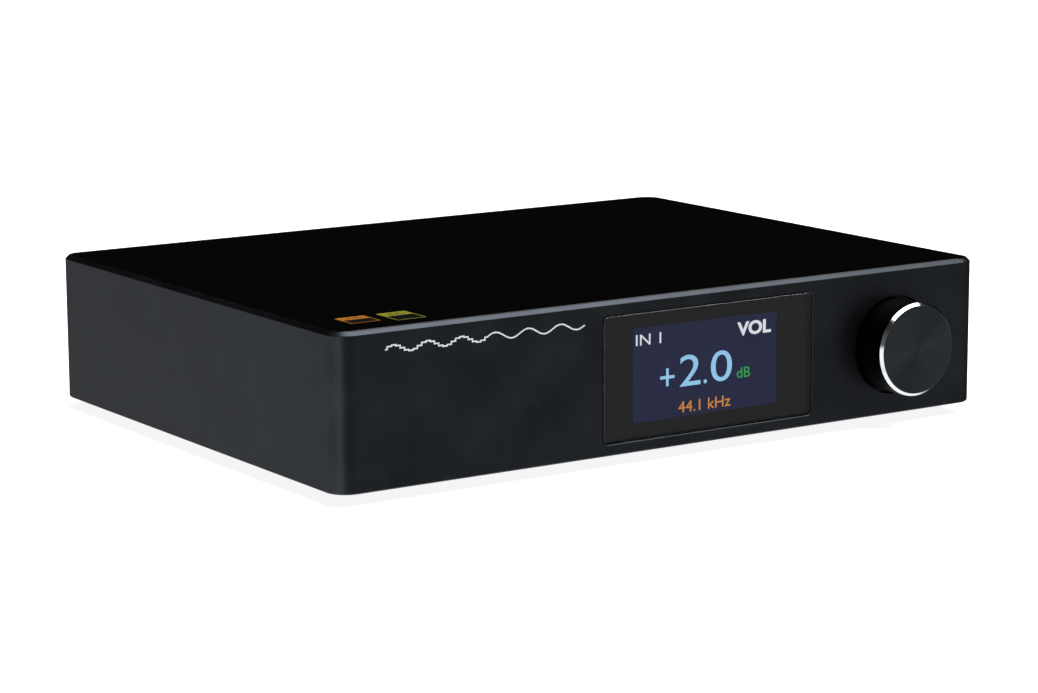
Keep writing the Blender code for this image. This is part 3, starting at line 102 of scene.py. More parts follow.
# %% Turn a grid of points into a closed mesh
def ring_faces(rows, count, looped):
    """Four corners for each cell of a grid whose columns run round and whose rows run along."""
    row, column = np.mgrid[0:rows if looped else rows - 1, 0:count]
    right, above = (column + 1) % count, (row + 1) % rows
    corners = [row * count + column, row * count + right, above * count + right, above * count + column]
    return np.stack(corners, -1).reshape(-1, 4)


def tidy(mesh):
    """Poles and seams are merged into single points, then every face is turned outwards."""
    shape = bmesh.new()
    shape.from_mesh(mesh)
    bmesh.ops.remove_doubles(shape, verts=shape.verts, dist=1e-7)
    bmesh.ops.recalc_face_normals(shape, faces=shape.faces)
    shape.to_mesh(mesh)
    shape.free()


def smooth(piece, angle=30.0):
    """Shade smoothly, except across edges sharper than the angle, and let large flat faces stay flat."""
    piece.data.shade_smooth()
    piece.data.set_sharp_from_angle(angle=math.radians(angle))
    flat = piece.modifiers.new("flats", "WEIGHTED_NORMAL")
    flat.keep_sharp = True
    return piece


def grid_piece(name, rings, looped=False, bands=None):
    """Mesh from rings of points, rows by columns by 3. Its UV map runs round in turns and along in metres."""
    rows, count = rings.shape[:2]
    faces = ring_faces(rows, count, looped)
    mesh = bpy.data.meshes.new(name)
    caps = [] if looped else [list(range(count))[::-1], list(range((rows - 1) * count, rows * count))]
    mesh.from_pydata(rings.reshape(-1, 3).tolist(), [], faces.tolist() + caps)
    step = np.linalg.norm(np.diff(rings[:, 0], axis=0), axis=1)
    along = np.append(0.0, np.cumsum(step))
    row, column = np.divmod(np.arange(len(faces)), count)
    end = along[np.minimum(row + 1, rows - 1)]
    u = np.stack([column, column + 1, column + 1, column], -1) / count
    v = np.stack([along[row], along[row], end, end], -1)
    uv = np.zeros((len(mesh.loops), 2))
    uv[: faces.size] = np.stack([u, v], -1).reshape(-1, 2)
    mesh.uv_layers.new(name="turning").data.foreach_set("uv", uv.ravel())
    if bands is not None:
        index = np.zeros(len(mesh.polygons), np.int32)
        index[: len(faces)] = np.asarray(bands)[row]
        mesh.polygons.foreach_set("material_index", index)
    tidy(mesh)
    piece = bpy.data.objects.new(name, mesh)
    bpy.context.scene.collection.objects.link(piece)
    return piece


def placed(points, axes, at):
    """Points drawn in a frame, in mm: turned by its axes, moved to where they are, and put in metres."""
    return (points @ axes.T + np.array(at, float)) * MM


def milled(name, size, radius, profile, axes, at, steps=8):
    """A rounded rectangle repeated at each (inset, height) of the profile, closed at both ends."""
    rings = [
        np.column_stack([
            rounded_outline(size[0] - 2 * inset, size[1] - 2 * inset, max(radius - inset, 0.01), steps),
            np.full(4 * (steps + 1), height),
        ])
        for inset, height in profile
    ]
    return grid_piece(name, placed(np.array(rings), axes, at))


def turned(name, profile, axes, at, steps=64, looped=False, bands=None):
    """Each (radius, height) of the profile becomes a ring: radius times cosine and sine, at that height."""
    profile = np.array(profile, float)
    angle = np.arange(steps) * 2 * np.pi / steps
    ring = np.stack([np.cos(angle), np.sin(angle), np.zeros(steps)], -1)
    rings = profile[:, None, :1] * ring + profile[:, None, 1:] * np.array([0.0, 0, 1])
    return grid_piece(name, placed(rings, axes, at), looped, bands)


def drawn(name, outline, low, high, axes, at):
    """Any outline carried straight from the height `low` to `high`."""
    outline = np.array(outline, float)
    rings = [np.column_stack([outline, np.full(len(outline), height)]) for height in (low, high)]
    return grid_piece(name, placed(np.array(rings), axes, at))


def carve(piece, operation, tools):
    """Join the tools to the piece or cut them out of it, and drop the tools."""
    for tool in tools:
        step = piece.modifiers.new(operation, "BOOLEAN")
        step.operation, step.solver, step.object = operation, "EXACT", tool
    bpy.context.view_layer.update()
    result = bpy.data.meshes.new_from_object(piece.evaluated_get(bpy.context.evaluated_depsgraph_get()))
    piece.modifiers.clear()
    piece.data = result
    for tool in tools:
        bpy.data.objects.remove(tool)
    return piece


def wear(piece, materials, body, stands_for=()):
    """Give a piece its materials and its body, and hide the solids that it stands for."""
    for material in materials:
        piece.data.materials.append(material)
    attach(piece, body)
    if stands_for:
        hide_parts(*stands_for)
    return piece


def fixed(piece, material, stands_for=()):
    """The same for the many pieces that have one material and ride on the enclosure."""
    return wear(piece, [material], "enclosure", stands_for)


# %% [markdown]
# ## Materials
# A finish is more than its colour. Blasting leaves pits, moulding leaves a fine skin, turning leaves circles,
# and each of them changes how a lamp is mirrored. Every material here starts from what the real one is, with
# a colour pair that a noise pattern mixes, a roughness that varies with it, and a small bump. Patterns are
# sized in millimetres on the object's own coordinates, so nothing slides when a piece moves.

# %% Colours and nodes
def linear(colour, alpha=1.0):
    """An sRGB hex colour as linear light: each channel is divided by 255, then the sRGB curve is undone."""
    srgb = np.array([int(colour[place:place + 2], 16) for place in (1, 3, 5)]) / 255
    light = np.where(srgb <= 0.04045, srgb / 12.92, ((srgb + 0.055) / 1.055) ** 2.4)
    return (*light.tolist(), alpha)


def node(tree, kind, inputs=None, **settings):
    """Add a node. An input that is given a socket is linked to it, and any other is set."""
    made = tree.nodes.new("ShaderNode" + kind)
    for name, value in settings.items():
        setattr(made, name, value)
    for name, value in (inputs or {}).items():
        if isinstance(value, bpy.types.NodeSocket):
            tree.links.new(value, made.inputs[name])
        else:
            made.inputs[name].default_value = value
    return made


def shaded(name, **sockets):
    """A material whose Principled sockets are set by name, with underscores for the spaces."""
    material = bpy.data.materials.new(name)
    material.use_nodes = True
    shader = material.node_tree.nodes["Principled BSDF"]
    for socket, value in sockets.items():
        shader.inputs[socket.replace("_", " ")].default_value = value
    return material, material.node_tree, shader


def grained(name, dark, light, roughness, grain, depth, spread=0.06, **sockets):
    """Fine noise of the grain's size, in mm, gives the bump and part of the tone; broad noise the rest."""
    material, tree, shader = shaded(name, **sockets)
    place = node(tree, "TexCoord").outputs["Object"]
    fine = node(tree, "TexNoise", {
        "Vector": place, "Scale": 1 / (grain * MM), "Detail": 3.0, "Roughness": 0.6})
    broad = node(tree, "TexNoise", {"Vector": place, "Scale": 1 / (12 * MM), "Detail": 2.0})
    mixed = node(tree, "Math", {0: fine.outputs[0], 1: broad.outputs[0]}, operation="ADD")
    share = node(tree, "MapRange", {"Value": mixed.outputs[0], "From Min": 0.7, "From Max": 1.3})
    colour = node(tree, "Mix", {0: share.outputs[0], 6: linear(dark), 7: linear(light)}, data_type="RGBA")
    rough = node(tree, "MapRange", {
        "Value": share.outputs[0], "To Min": roughness - spread, "To Max": roughness + spread})
    bump = node(tree, "Bump", {"Height": fine.outputs[0], "Distance": depth * MM, "Strength": 1.0})
    tree.links.new(colour.outputs[2], shader.inputs["Base Color"])
    tree.links.new(rough.outputs[0], shader.inputs["Roughness"])
    tree.links.new(bump.outputs[0], shader.inputs["Normal"])
    return material


# %% [markdown]
# ## The metals and the glass outside
# The box is aluminium, blasted with fine glass beads and anodised black. The pits break up every reflection,
# so it shines softly. The knob's face is turned instead: its circles mirror a lamp as two bright wedges,
# which an anisotropic shader gives once its tangent follows the circles. The knob's edge is cut last, with a
# diamond, through the black skin, and shows bare bright metal. Grit and turning marks are near 0.05 mm on the
# real ones, too fine to show, so both are drawn a few times coarser.

# %% Anodised, turned and cut aluminium
anodised = grained("blasted_black_anodised_aluminium", "#373b40", "#484c52", 0.40, 0.35, 0.010,
                   Metallic=1.0)


def spun(name, colour, roughness, pitch, depth, anisotropy):
    """Circles of the given pitch, in mm, drawn by a wave that runs along the profile, v of the UV map."""
    material, tree, shader = shaded(name, Base_Color=linear(colour), Metallic=1.0, Anisotropic=anisotropy)
    turning = node(tree, "UVMap", uv_map="turning")
    rings = node(tree, "Mapping", {"Vector": turning.outputs[0], "Scale": (0.0, 1 / (pitch * MM), 0.0)})
    wave = node(tree, "TexNoise", {"Vector": rings.outputs[0], "Scale": 1.0, "Detail": 2.0})
    tangent = node(tree, "Tangent", direction_type="UV_MAP", uv_map="turning")
    rough = node(tree, "MapRange", {
        "Value": wave.outputs[0], "To Min": roughness * 0.7, "To Max": roughness * 1.3})
    bump = node(tree, "Bump", {"Height": wave.outputs[0], "Distance": depth * MM, "Strength": 1.0})
    tree.links.new(rough.outputs[0], shader.inputs["Roughness"])
    tree.links.new(bump.outputs[0], shader.inputs["Normal"])
    tree.links.new(tangent.outputs[0], shader.inputs["Tangent"])
    return material


knob_face = spun("turned_black_anodised_face", "#50565b", 0.30, 0.20, 0.004, 0.85)
knob_side = grained("blasted_black_knob_side", "#101113", "#17181a", 0.42, 0.30, 0.006, Metallic=1.0)
cut_aluminium = spun("diamond_cut_bright_aluminium", "#eceef0", 0.10, 0.30, 0.0006, 0.4)

# %% [markdown]
# The lid is float glass, printed black on its underside, and it mirrors like a still pond. A few specks of
# dust keep it from looking like nothing at all. The window is clear glass with a black print behind it, so
# the print is a piece of its own and the glass stays one even material.

# %% Glass, print and dust
def dusty_glass():
    """Sparse cells of a Voronoi pattern, 4 mm apart, become specks that are rough and a little pale."""
    material, tree, shader = shaded("black_backed_float_glass", Base_Color=linear("#020203"), IOR=1.5)
    place = node(tree, "TexCoord").outputs["Object"]
    cells = node(tree, "TexVoronoi", {"Vector": place, "Scale": 1 / (4.0 * MM)})
    speck = node(tree, "MapRange", {
        "Value": cells.outputs["Distance"], "From Min": 0.02, "From Max": 0.045, "To Min": 1.0,
        "To Max": 0.0})
    some = node(tree, "Math", {0: cells.outputs["Color"], 1: 0.80}, operation="GREATER_THAN")
    dust = node(tree, "Math", {0: speck.outputs[0], 1: some.outputs[0]}, operation="MULTIPLY")
    haze = node(tree, "TexNoise", {"Vector": place, "Scale": 1 / (30 * MM), "Detail": 4.0})
    colour = node(tree, "Mix", {0: dust.outputs[0], 6: linear("#020203"), 7: linear("#3c3c3e")},
                  data_type="RGBA")
    rough = node(tree, "MapRange", {"Value": haze.outputs[0], "To Min": 0.015, "To Max": 0.05})
    total = node(tree, "Math", {0: dust.outputs[0], 1: rough.outputs[0]}, operation="ADD")
    tree.links.new(colour.outputs[2], shader.inputs["Base Color"])
    tree.links.new(total.outputs[0], shader.inputs["Roughness"])
    return material


lid_glass = dusty_glass()
window_glass, window_tree, window_shader = shaded(
    "clear_window_glass", Transmission_Weight=1.0, IOR=1.45, Roughness=0.0)
tint = node(window_tree, "TexNoise", {
    "Vector": node(window_tree, "TexCoord").outputs["Object"], "Scale": 1 / (9 * MM), "Detail": 3.0})
tint_colour = node(window_tree, "Mix", {0: tint.outputs[0], 6: linear("#e4e8ec"), 7: linear("#eef1f4")},
                   data_type="RGBA")
window_tree.links.new(tint_colour.outputs[2], window_shader.inputs["Base Color"])
black_print = grained("black_screen_print", "#060607", "#0a0a0b", 0.85, 0.30, 0.004,
                      Specular_IOR_Level=0.0)

# %% [markdown]
# ## Lit colours
# The picture is made by a colour panel with a lamp behind it. Its black is never quite black: some light
# leaks through, in slow patches, and it has a violet tint. The readings are plain emitters.

# %% Emitting materials
def lit(name, colour, deeper):
    """Emission whose colour drifts to a deeper one in slow patches, like the leak of a backlight."""
    material, tree, shader = shaded(name, Base_Color=linear("#020203"), Roughness=0.9, Specular_IOR_Level=0.0,
                            Emission_Strength=1.0)
    place = node(tree, "TexCoord").outputs["Object"]
    leak = node(tree, "TexNoise", {"Vector": place, "Scale": 1 / (14 * MM), "Detail": 1.0})
    drift = node(tree, "Mix", {0: leak.outputs[0], 6: linear(colour), 7: linear(deeper)}, data_type="RGBA")
    tree.links.new(drift.outputs[2], shader.inputs["Emission Color"])
    return material


lit_ground = lit("backlit_display_ground", "#141c42", "#0f1436")
lit_blue = lit("lit_light_blue", "#a4dafd", "#98d0f6")
lit_white = lit("lit_white", "#f6f7fb", "#eceef4")
lit_green = lit("lit_green", "#2fb44e", "#2aa548")
lit_orange = lit("lit_orange", "#e8943c", "#dc8a38")

# %% [markdown]
# ## Plastics, platings and boards
# Behind the plate and on it are the usual stock parts: moulded black housings with a fine spark-eroded skin,
# gold and nickel plating over turned brass, black zinc on steel screws, green solder mask over copper tracks,
# and soft rubber for the feet.

# %% Stock materials
black_plastic = grained("moulded_black_nylon", "#141416", "#1e1e20", 0.50, 0.25, 0.010)
rocker_plastic = grained("moulded_black_polycarbonate", "#121214", "#1a1a1c", 0.32, 0.35, 0.004)
insulator_plastic = grained("moulded_dark_insulator", "#1b1b1d", "#262628", 0.45, 0.25, 0.006)
white_nylon = grained("moulded_white_nylon", "#c9c7bf", "#d8d6cf", 0.40, 0.30, 0.004, Subsurface_Weight=0.1,
                      Subsurface_Radius=(0.001, 0.001, 0.001))
red_nylon = grained("moulded_red_nylon", "#8e1d1c", "#a32624", 0.40, 0.30, 0.004)
orange_nylon = grained("moulded_orange_nylon", "#b8601c", "#c96d24", 0.40, 0.30, 0.004)
rubber = grained("moulded_black_rubber", "#131313", "#1d1d1d", 0.78, 0.40, 0.020, spread=0.08)
gold = grained("gold_plate_on_turned_brass", "#d9b26a", "#e3c07c", 0.20, 0.50, 0.002, Metallic=1.0)
nickel = grained("nickel_plate_on_steel", "#b9b6ae", "#c8c5be", 0.24, 0.60, 0.003, Metallic=1.0)
screw_metal = grained("black_zinc_on_steel", "#3c3d41", "#4d4e52", 0.34, 0.40, 0.004, Metallic=1.0)
zinc = grained("bright_zinc_on_steel", "#a3a5a6", "#b4b6b7", 0.34, 0.60, 0.005, Metallic=1.0)
capacitor_sleeve = grained("shrunk_black_sleeve", "#1a1712", "#262019", 0.28, 1.2, 0.006)
film_case = grained("moulded_blue_film_case", "#20305e", "#2a3c70", 0.32, 0.5, 0.004)
relay_plastic = grained("moulded_relay_case", "#c9c8c2", "#d8d7d2", 0.36, 0.35, 0.004)
dial_plastic = grained("moulded_acetal", "#c4bca0", "#d2cab0", 0.40, 0.30, 0.004)
ferrite = grained("sintered_ferrite", "#3a3734", "#4a4642", 0.60, 0.20, 0.020)
receiver_epoxy = grained("dark_filter_epoxy", "#16090d", "#221015", 0.12, 0.8, 0.002)
light_pipe = grained("clear_acrylic", "#c8ced4", "#dbe0e5", 0.10, 1.5, 0.002,
                     Transmission_Weight=0.6, IOR=1.49)


def striped(name, ground, stripe, pitch, direction, roughness):
    """A wave texture in bands of the given pitch, in mm, switches between two colours and lifts one."""
    material, tree, shader = shaded(name, Roughness=roughness)
    place = node(tree, "TexCoord").outputs["Object"]
    bands = node(tree, "TexWave", {"Vector": place, "Scale": math.pi / 10 / (pitch * MM), "Distortion": 0.0},
                 bands_direction=direction)
    share = node(tree, "MapRange", {"Value": bands.outputs["Fac"], "From Min": 0.45, "From Max": 0.55})
    colour = node(tree, "Mix", {0: share.outputs[0], 6: linear(ground), 7: linear(stripe)}, data_type="RGBA")
    bump = node(tree, "Bump", {"Height": share.outputs[0], "Distance": 0.03 * MM, "Strength": 1.0})
    tree.links.new(colour.outputs[2], shader.inputs["Base Color"])
    tree.links.new(bump.outputs[0], shader.inputs["Normal"])
    return material


ribbon = striped("flat_flexible_cable", "#d6d3c8", "#a9a69c", 1.0, "X", 0.35)
green_board = striped("solder_mask_over_copper", "#0d3d20", "#155a30", 1.6, "DIAGONAL", 0.32)

# %% [markdown]
# ## Every solid gets its finish
# The inside is never seen in the portrait, but the model can be opened, so the boards and what stands on them
# keep their solids and take their own materials.

# %% Finishes for the solids that stay
def family(*stems):
    """Every node whose name starts with one of the stems."""
    return [name for name in sorted(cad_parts) if name.startswith(stems)]


finishes = (
    (anodised, family("chassis_shell", "rear_panel", "bottom_cover")),
    (lid_glass, family("top_glass", "display_lens")),
    (black_print, family("display_panel")),
    (black_plastic, family("display_holder", "xlr_left_housing", "xlr_right_housing", "optical",
                           "mains_inlet", "power_switch")),
    (rocker_plastic, family("power_rocker")),
    (insulator_plastic, family("xlr_left_insert", "xlr_right_insert")),
    (rubber, family("foot")),
    (screw_metal, family("cover_screw", "rear_screw", "knob_grub_screw")),
    (zinc, family("main_board_screw", "power_board_screw", "front_board_screw", "encoder_body")),
    (nickel, family("encoder_shaft", "encoder_nut", "usb_socket")),
    (gold, family("rca", "coaxial", "antenna")),
    (green_board, ["main_board", "power_board", "front_board"]),
    (ribbon, family("display_cable")),
    (capacitor_sleeve, family("smoothing_capacitor")),
    (film_case, family("mains_capacitor")),
    (relay_plastic, family("output_relay")),
    (dial_plastic, family("encoder_rotor", "encoder_switch_plunger")),
    (ferrite, family("power_transformer")),
    (receiver_epoxy, family("infrared_receiver")),
    (light_pipe, family("status_light_pipe")),
    (knob_side, ["knob"]),
)
for material, names in finishes:
    for name in names:
        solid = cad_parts[name]
        solid.data.materials.clear()
        solid.data.materials.append(material)
finished = {name for _, names in finishes for name in names}
print("solids with a finish:", len(finished), "of", len(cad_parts))
assert finished == set(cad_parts)

# %% [markdown]
# ## The machined box
# Front, sides and top rim are one block of aluminium. A loft of rounded rectangles gives it corners that are
# truly round, a chamfer round the top, and edges broken by a tenth of a millimetre, which is what catches a
# line of light. Its openings are then cut. Each cutter widens where it leaves the metal, as a countersink
# does, so the rims of the openings are broken as well.

# %% Measure the solids that the box has to fit
GAP = 0.3
EDGE = 0.12
OVER = 1.0


def span(name):
    """Lowest corner, highest corner and middle of a solid, as arrays in mm."""
    low, high = (np.array(corner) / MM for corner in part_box(name))
    return low, high, (low + high) / 2


shell_low, shell_high, shell_mid = span("chassis_shell")
width, depth, height = shell_high - shell_low
front_y, rear_y, base_z, top_z = shell_low[1], shell_high[1], shell_low[2], shell_high[2]
glass_low, glass_high, _ = span("top_glass")
lens_low, lens_high, lens_mid = span("display_lens")
knob_low, knob_high, knob_mid = span("knob")
panel_low, panel_high, panel_mid = span("rear_panel")
cover_low, cover_high, cover_mid = span("bottom_cover")
CORNER, CHAMFER, BREAK = 5.3, 0.9, 0.3
knob_radius = (knob_high[0] - knob_low[0]) / 2
print("box in mm:", np.round(shell_high - shell_low, 1), "knob radius:", round(knob_radius, 2))


# %% Cutters that open up towards the surface
def mouth(size, corner, bottom, top, axes, at, steps=8, flare=EDGE):
    """A milled cutter from `bottom` to past `top`, wider by the flare where it crosses `top`."""
    profile = [(0, bottom), (0, top - flare), (-flare, top), (-flare, top + OVER)]
    return milled("cutter", size, corner, profile, axes, at, steps)


def round_mouth(radius, bottom, top, axes, at, steps=64, flare=EDGE):
    """The same for a round hole."""
    profile = [(0, bottom), (radius, bottom), (radius, top - flare), (radius + flare, top),
               (radius + flare, top + OVER), (0, top + OVER)]
    return turned("cutter", profile, axes, at, steps)


# %% Loft the box and open it
shell_profile = eased([
    (BREAK + 4, 0.0), (BREAK, 0.0), (0.0, BREAK), (0.0, height - CHAMFER), (CHAMFER, height),
    (CHAMFER + 0.5, height),
], EDGE)
shell = milled("machined_box", (width, depth), CORNER, shell_profile, UPRIGHT,
               (shell_mid[0], shell_mid[1], base_z), steps=24)
seat = glass_low[:2] - GAP, glass_high[:2] + GAP
seat_corner = CORNER - (width - (seat[1] - seat[0])[0]) / 2
cavity_size = cover_high[:2] - cover_low[:2] + 2 * GAP
cavity_middle = (cover_mid[0], cover_mid[1], 0.0)
deck_z = panel_high[2] - GAP
SCREW_TOWER = 7.0
half_x, half_y = cavity_size / 2
tower_x, tower_y = half_x - SCREW_TOWER, half_y - SCREW_TOWER
cross = [
    (half_x, -tower_y), (half_x, tower_y), (tower_x, tower_y), (tower_x, half_y), (-tower_x, half_y),
    (-tower_x, tower_y), (-half_x, tower_y), (-half_x, -tower_y), (-tower_x, -tower_y), (-tower_x, -half_y),
    (tower_x, -half_y), (tower_x, -tower_y),
]
panel_size = (panel_high - panel_low)[[0, 2]]
lens_size = (lens_high - lens_low)[[0, 2]]
LENS_CORNER, LEDGE, PANEL_CORNER, PANEL_LEDGE = 1.3, 1.2, 1.5, 4.0
lens_at = (lens_mid[0], front_y, lens_mid[2])
knob_at = (knob_mid[0], front_y, knob_mid[2])
panel_at = (panel_mid[0], rear_y, panel_mid[2])
RECESS_ROOM, RECESS_DEPTH = 0.65, 2.0
carve(shell, "DIFFERENCE", [
    mouth(seat[1] - seat[0], seat_corner, glass_low[2] - GAP, top_z, UPRIGHT,
          (shell_mid[0], shell_mid[1], 0.0), 24, 0.05),
    drawn("cavity", cross, 0.0, deck_z, UPRIGHT, cavity_middle),
    mouth(cavity_size, 0.1, -cover_high[2] - GAP, -base_z, UNDER, cavity_middle, 1),
    mouth(lens_size + 2 * GAP, LENS_CORNER + GAP, front_y - lens_high[1] - GAP, 0.0, FRONT, lens_at, 12),
    mouth(lens_size - 2 * LEDGE, LENS_CORNER, -6, -2, FRONT, lens_at, 4),
    round_mouth(knob_radius + RECESS_ROOM, -RECESS_DEPTH, 0.0, FRONT, knob_at, 128),
    round_mouth(3.8, -6, -RECESS_DEPTH, FRONT, knob_at, 32),
    mouth(panel_size + 2 * GAP, PANEL_CORNER + GAP, panel_low[1] - rear_y - GAP, 0.0, REAR, panel_at),
    mouth((panel_size[0] - 2 * PANEL_LEDGE, panel_size[1] - 2 * PANEL_CORNER), 0.1, -8, -2,
          REAR, panel_at, 1),
])
smooth(shell, 22)
fixed(shell, anodised, ["chassis_shell"])
print("machined box:", len(shell.data.vertices), "vertices")

# %% [markdown]
# The lid lies in a seat 0.35 mm inside the chamfer. Its edge is ground to a small facet, and its surface is a
# hair below the rim, so the rim protects it.

# %% The glass lid
LID_DROP = 0.06
lid_size = (glass_high - glass_low)[:2]
lid_thickness, LID_FACET = glass_high[2] - glass_low[2] - LID_DROP, 0.25
lid_profile = [
    (LID_FACET, 0.0), (0.0, LID_FACET), (0.0, lid_thickness - LID_FACET), (LID_FACET, lid_thickness)]
lid = milled("glass_lid", lid_size, seat_corner - GAP, lid_profile, UPRIGHT,
             (shell_mid[0], shell_mid[1], glass_low[2]), steps=24)
fixed(smooth(lid, 20), lid_glass, ["top_glass"])

# %% [markdown]
# ## The window and its picture
# From the front to the back: clear glass, a black print with an opening, and the picture. The readings lie a
# few hundredths of a millimetre above the picture's ground, so that they can be meshes of their own.

# %% Window glass and the print behind it
def slab(thickness, facet):
    """The edge of a plate from its back to its face, both corners cut by the facet and then softened."""
    return eased([(facet, -thickness), (0.0, facet - thickness), (0.0, -facet), (facet, 0.0)], 0.04)


GROUND_FACET = 0.15
lens_depth = lens_high[1] - lens_low[1]
window = milled("window_glass", lens_size, LENS_CORNER, slab(lens_depth, GROUND_FACET), FRONT, lens_at, 12)
fixed(smooth(window, 20), window_glass, ["display_lens"])

PICTURE = (42.6, 22.6)
picture_at = (lens_mid[0] - 0.55, front_y, lens_mid[2])
PRINT_BACK, PRINT_FRONT, PRINT_MARGIN = -lens_depth - 0.09, -lens_depth - 0.05, 0.1
mask = milled("window_print", lens_size - 2 * PRINT_MARGIN, LENS_CORNER,
              [(0, PRINT_BACK), (0, PRINT_FRONT)], FRONT, lens_at)
carve(mask, "DIFFERENCE", [
    mouth(PICTURE, 0.25, PRINT_BACK - OVER, PRINT_FRONT, FRONT, picture_at, 4, 0.0),
])
fixed(mask, black_print)
ground = milled("display_ground", (PICTURE[0] + 1.0, PICTURE[1] + 1.0), 0.3,
                [(0, -lens_depth - 0.24), (0, -lens_depth - 0.20)], FRONT, picture_at, 2)
fixed(ground, lit_ground)

# %% [markdown]
# The readings are numbers and units that any such unit could show. Words that named a maker's input or format
# are exchanged for plain ones. Blender's own typeface is turned into a mesh and then fitted to its place,
# because a text object can't be moved into place and stay at the origin.

# %% Write the readings
LETTER_THICKNESS = 0.03


def written(name, text, low, high, material, weight, axes=FRONT, at=picture_at, lift=-lens_depth - 0.19):
    """A text as a flat mesh, stretched to fill the box from `low` to `high`, in mm from the point `at`."""
    letters = bpy.data.curves.new(name, "FONT")
    letters.body, letters.offset, letters.resolution_u, letters.extrude = text, weight, 6, 0.01
    holder = bpy.data.objects.new(name, letters)
    bpy.context.scene.collection.objects.link(holder)
    bpy.context.view_layer.update()
    mesh = bpy.data.meshes.new_from_object(holder.evaluated_get(bpy.context.evaluated_depsgraph_get()))
    bpy.data.objects.remove(holder)
    points = np.zeros(len(mesh.vertices) * 3)
    mesh.vertices.foreach_get("co", points)
    points = points.reshape(-1, 3)
    share = (points - points.min(0)) / (points.max(0) - points.min(0))
    low = np.array([*low, 0.0]) + (0, 0, lift)
    high = np.array([*high, 0.0]) + (0, 0, lift + LETTER_THICKNESS)
    fitted = placed(low + share * (high - low), axes, at)
    mesh.vertices.foreach_set("co", fitted.ravel())
    mesh.name = name
    tidy(mesh)
    piece = bpy.data.objects.new(name, mesh)
    bpy.context.scene.collection.objects.link(piece)
    return fixed(piece, material)


readings = (
    ("reading_input", "IN 1", (-20.35, 7.1), (-13.05, 9.7), lit_white, 0.0),
    ("reading_word", "VOL", (9.45, 6.3), (19.65, 9.7), lit_white, 0.035),
    ("reading_sign", "+", (-13.3, -3.5), (-9.1, 0.8), lit_blue, 0.0),
    ("reading_two", "2", (-7.55, -4.1), (-1.45, 3.4), lit_blue, 0.0),
    ("reading_point", ".", (-0.5, -4.1), (0.45, -3.1), lit_blue, 0.0),
    ("reading_zero", "0", (1.65, -4.1), (7.95, 3.4), lit_blue, 0.0),
    ("reading_unit", "dB", (9.45, -3.9), (13.45, -1.4), lit_green, 0.0),
    ("reading_rate", "44.1 kHz", (-7.95, -10.4), (7.55, -7.65), lit_orange, 0.0),
)
for name, text, low, high, material, weight in readings:
    written(name, text, low, high, material, weight)
print("readings:", len(readings))

# %% [markdown]
# ## The knob
# The knob comes off a lathe, so it is a profile carried round its axis. The turning marks on its face are
# part of the finish, while the diamond-cut edge is a band of the mesh with a metal of its own.

# %% Turn the knob
KNOB_CHAMFER, KNOB_HOLLOW = 0.66, 6.4
stand_out = front_y - knob_low[1]
knob_seat = front_y - knob_high[1]
hollow_end = 3.2
rim = knob_radius - KNOB_CHAMFER
knob_profile = [
    (0.0, hollow_end), (KNOB_HOLLOW, hollow_end), (KNOB_HOLLOW, knob_seat), (knob_radius - GAP, knob_seat),
    (knob_radius, knob_seat + GAP), (knob_radius, stand_out - KNOB_CHAMFER - 0.03),
    (knob_radius - 0.01, stand_out - KNOB_CHAMFER), (rim, stand_out - 0.01),
    (rim - 0.03, stand_out), (rim * 0.66, stand_out - 0.02), (rim * 0.33, stand_out - 0.04),
    (0.05, stand_out - 0.05), (0.0, stand_out - 0.05),
]
SIDE, CUT, FACE = 0, 1, 2
bands = [SIDE] * 5 + [SIDE, CUT, CUT, FACE, FACE, FACE, FACE]
knob = turned("spun_knob", knob_profile, FRONT, knob_at, 192, bands=bands)
wear(smooth(knob, 20), [knob_side, cut_aluminium, knob_face], "volume_knob", ["knob"])
print("knob:", len(knob.data.polygons), "faces")

# %% [markdown]
# ## Small marks on the front and the lid
# A maker would print a name here and stick foil labels on the lid. In their place are a plain picture of what
# the unit does, steps that turn into a wave, and two labels with a block of foil and no words. The print is a
# ribbon: a path in the plane of the front, widened along its own normal.

# %% The printed wave
ink = grained("screen_printed_grey_ink", "#c4c6c9", "#d2d4d6", 0.55, 0.20, 0.002)
gold_foil = grained("orange_printed_foil", "#b5651d", "#d08a2c", 0.35, 0.40, 0.003)
lime_foil = grained("yellow_printed_foil", "#8f8f22", "#a9a436", 0.35, 0.40, 0.003)
label_black = grained("black_label_film", "#0c0c0d", "#151516", 0.30, 0.50, 0.003)


def stroke(name, path, width, low, high, axes, at):
    """Each point moves to both sides along the mitre: the two normals' sum over one plus their product."""
    heading = np.diff(path, axis=0)
    heading /= np.linalg.norm(heading, axis=1, keepdims=True)
    side = np.stack([-heading[:, 1], heading[:, 0]], -1)
    before, after = np.vstack([side[:1], side]), np.vstack([side, side[-1:]])
    normal = (before + after) / (1 + (before * after).sum(1, keepdims=True)) * width / 2
    sides = ((path - normal, low), (path + normal, low), (path + normal, high), (path - normal, high))
    section = np.stack([np.column_stack([side, np.full(len(path), level)]) for side, level in sides], 1)
    return grid_piece(name, placed(section, axes, at))


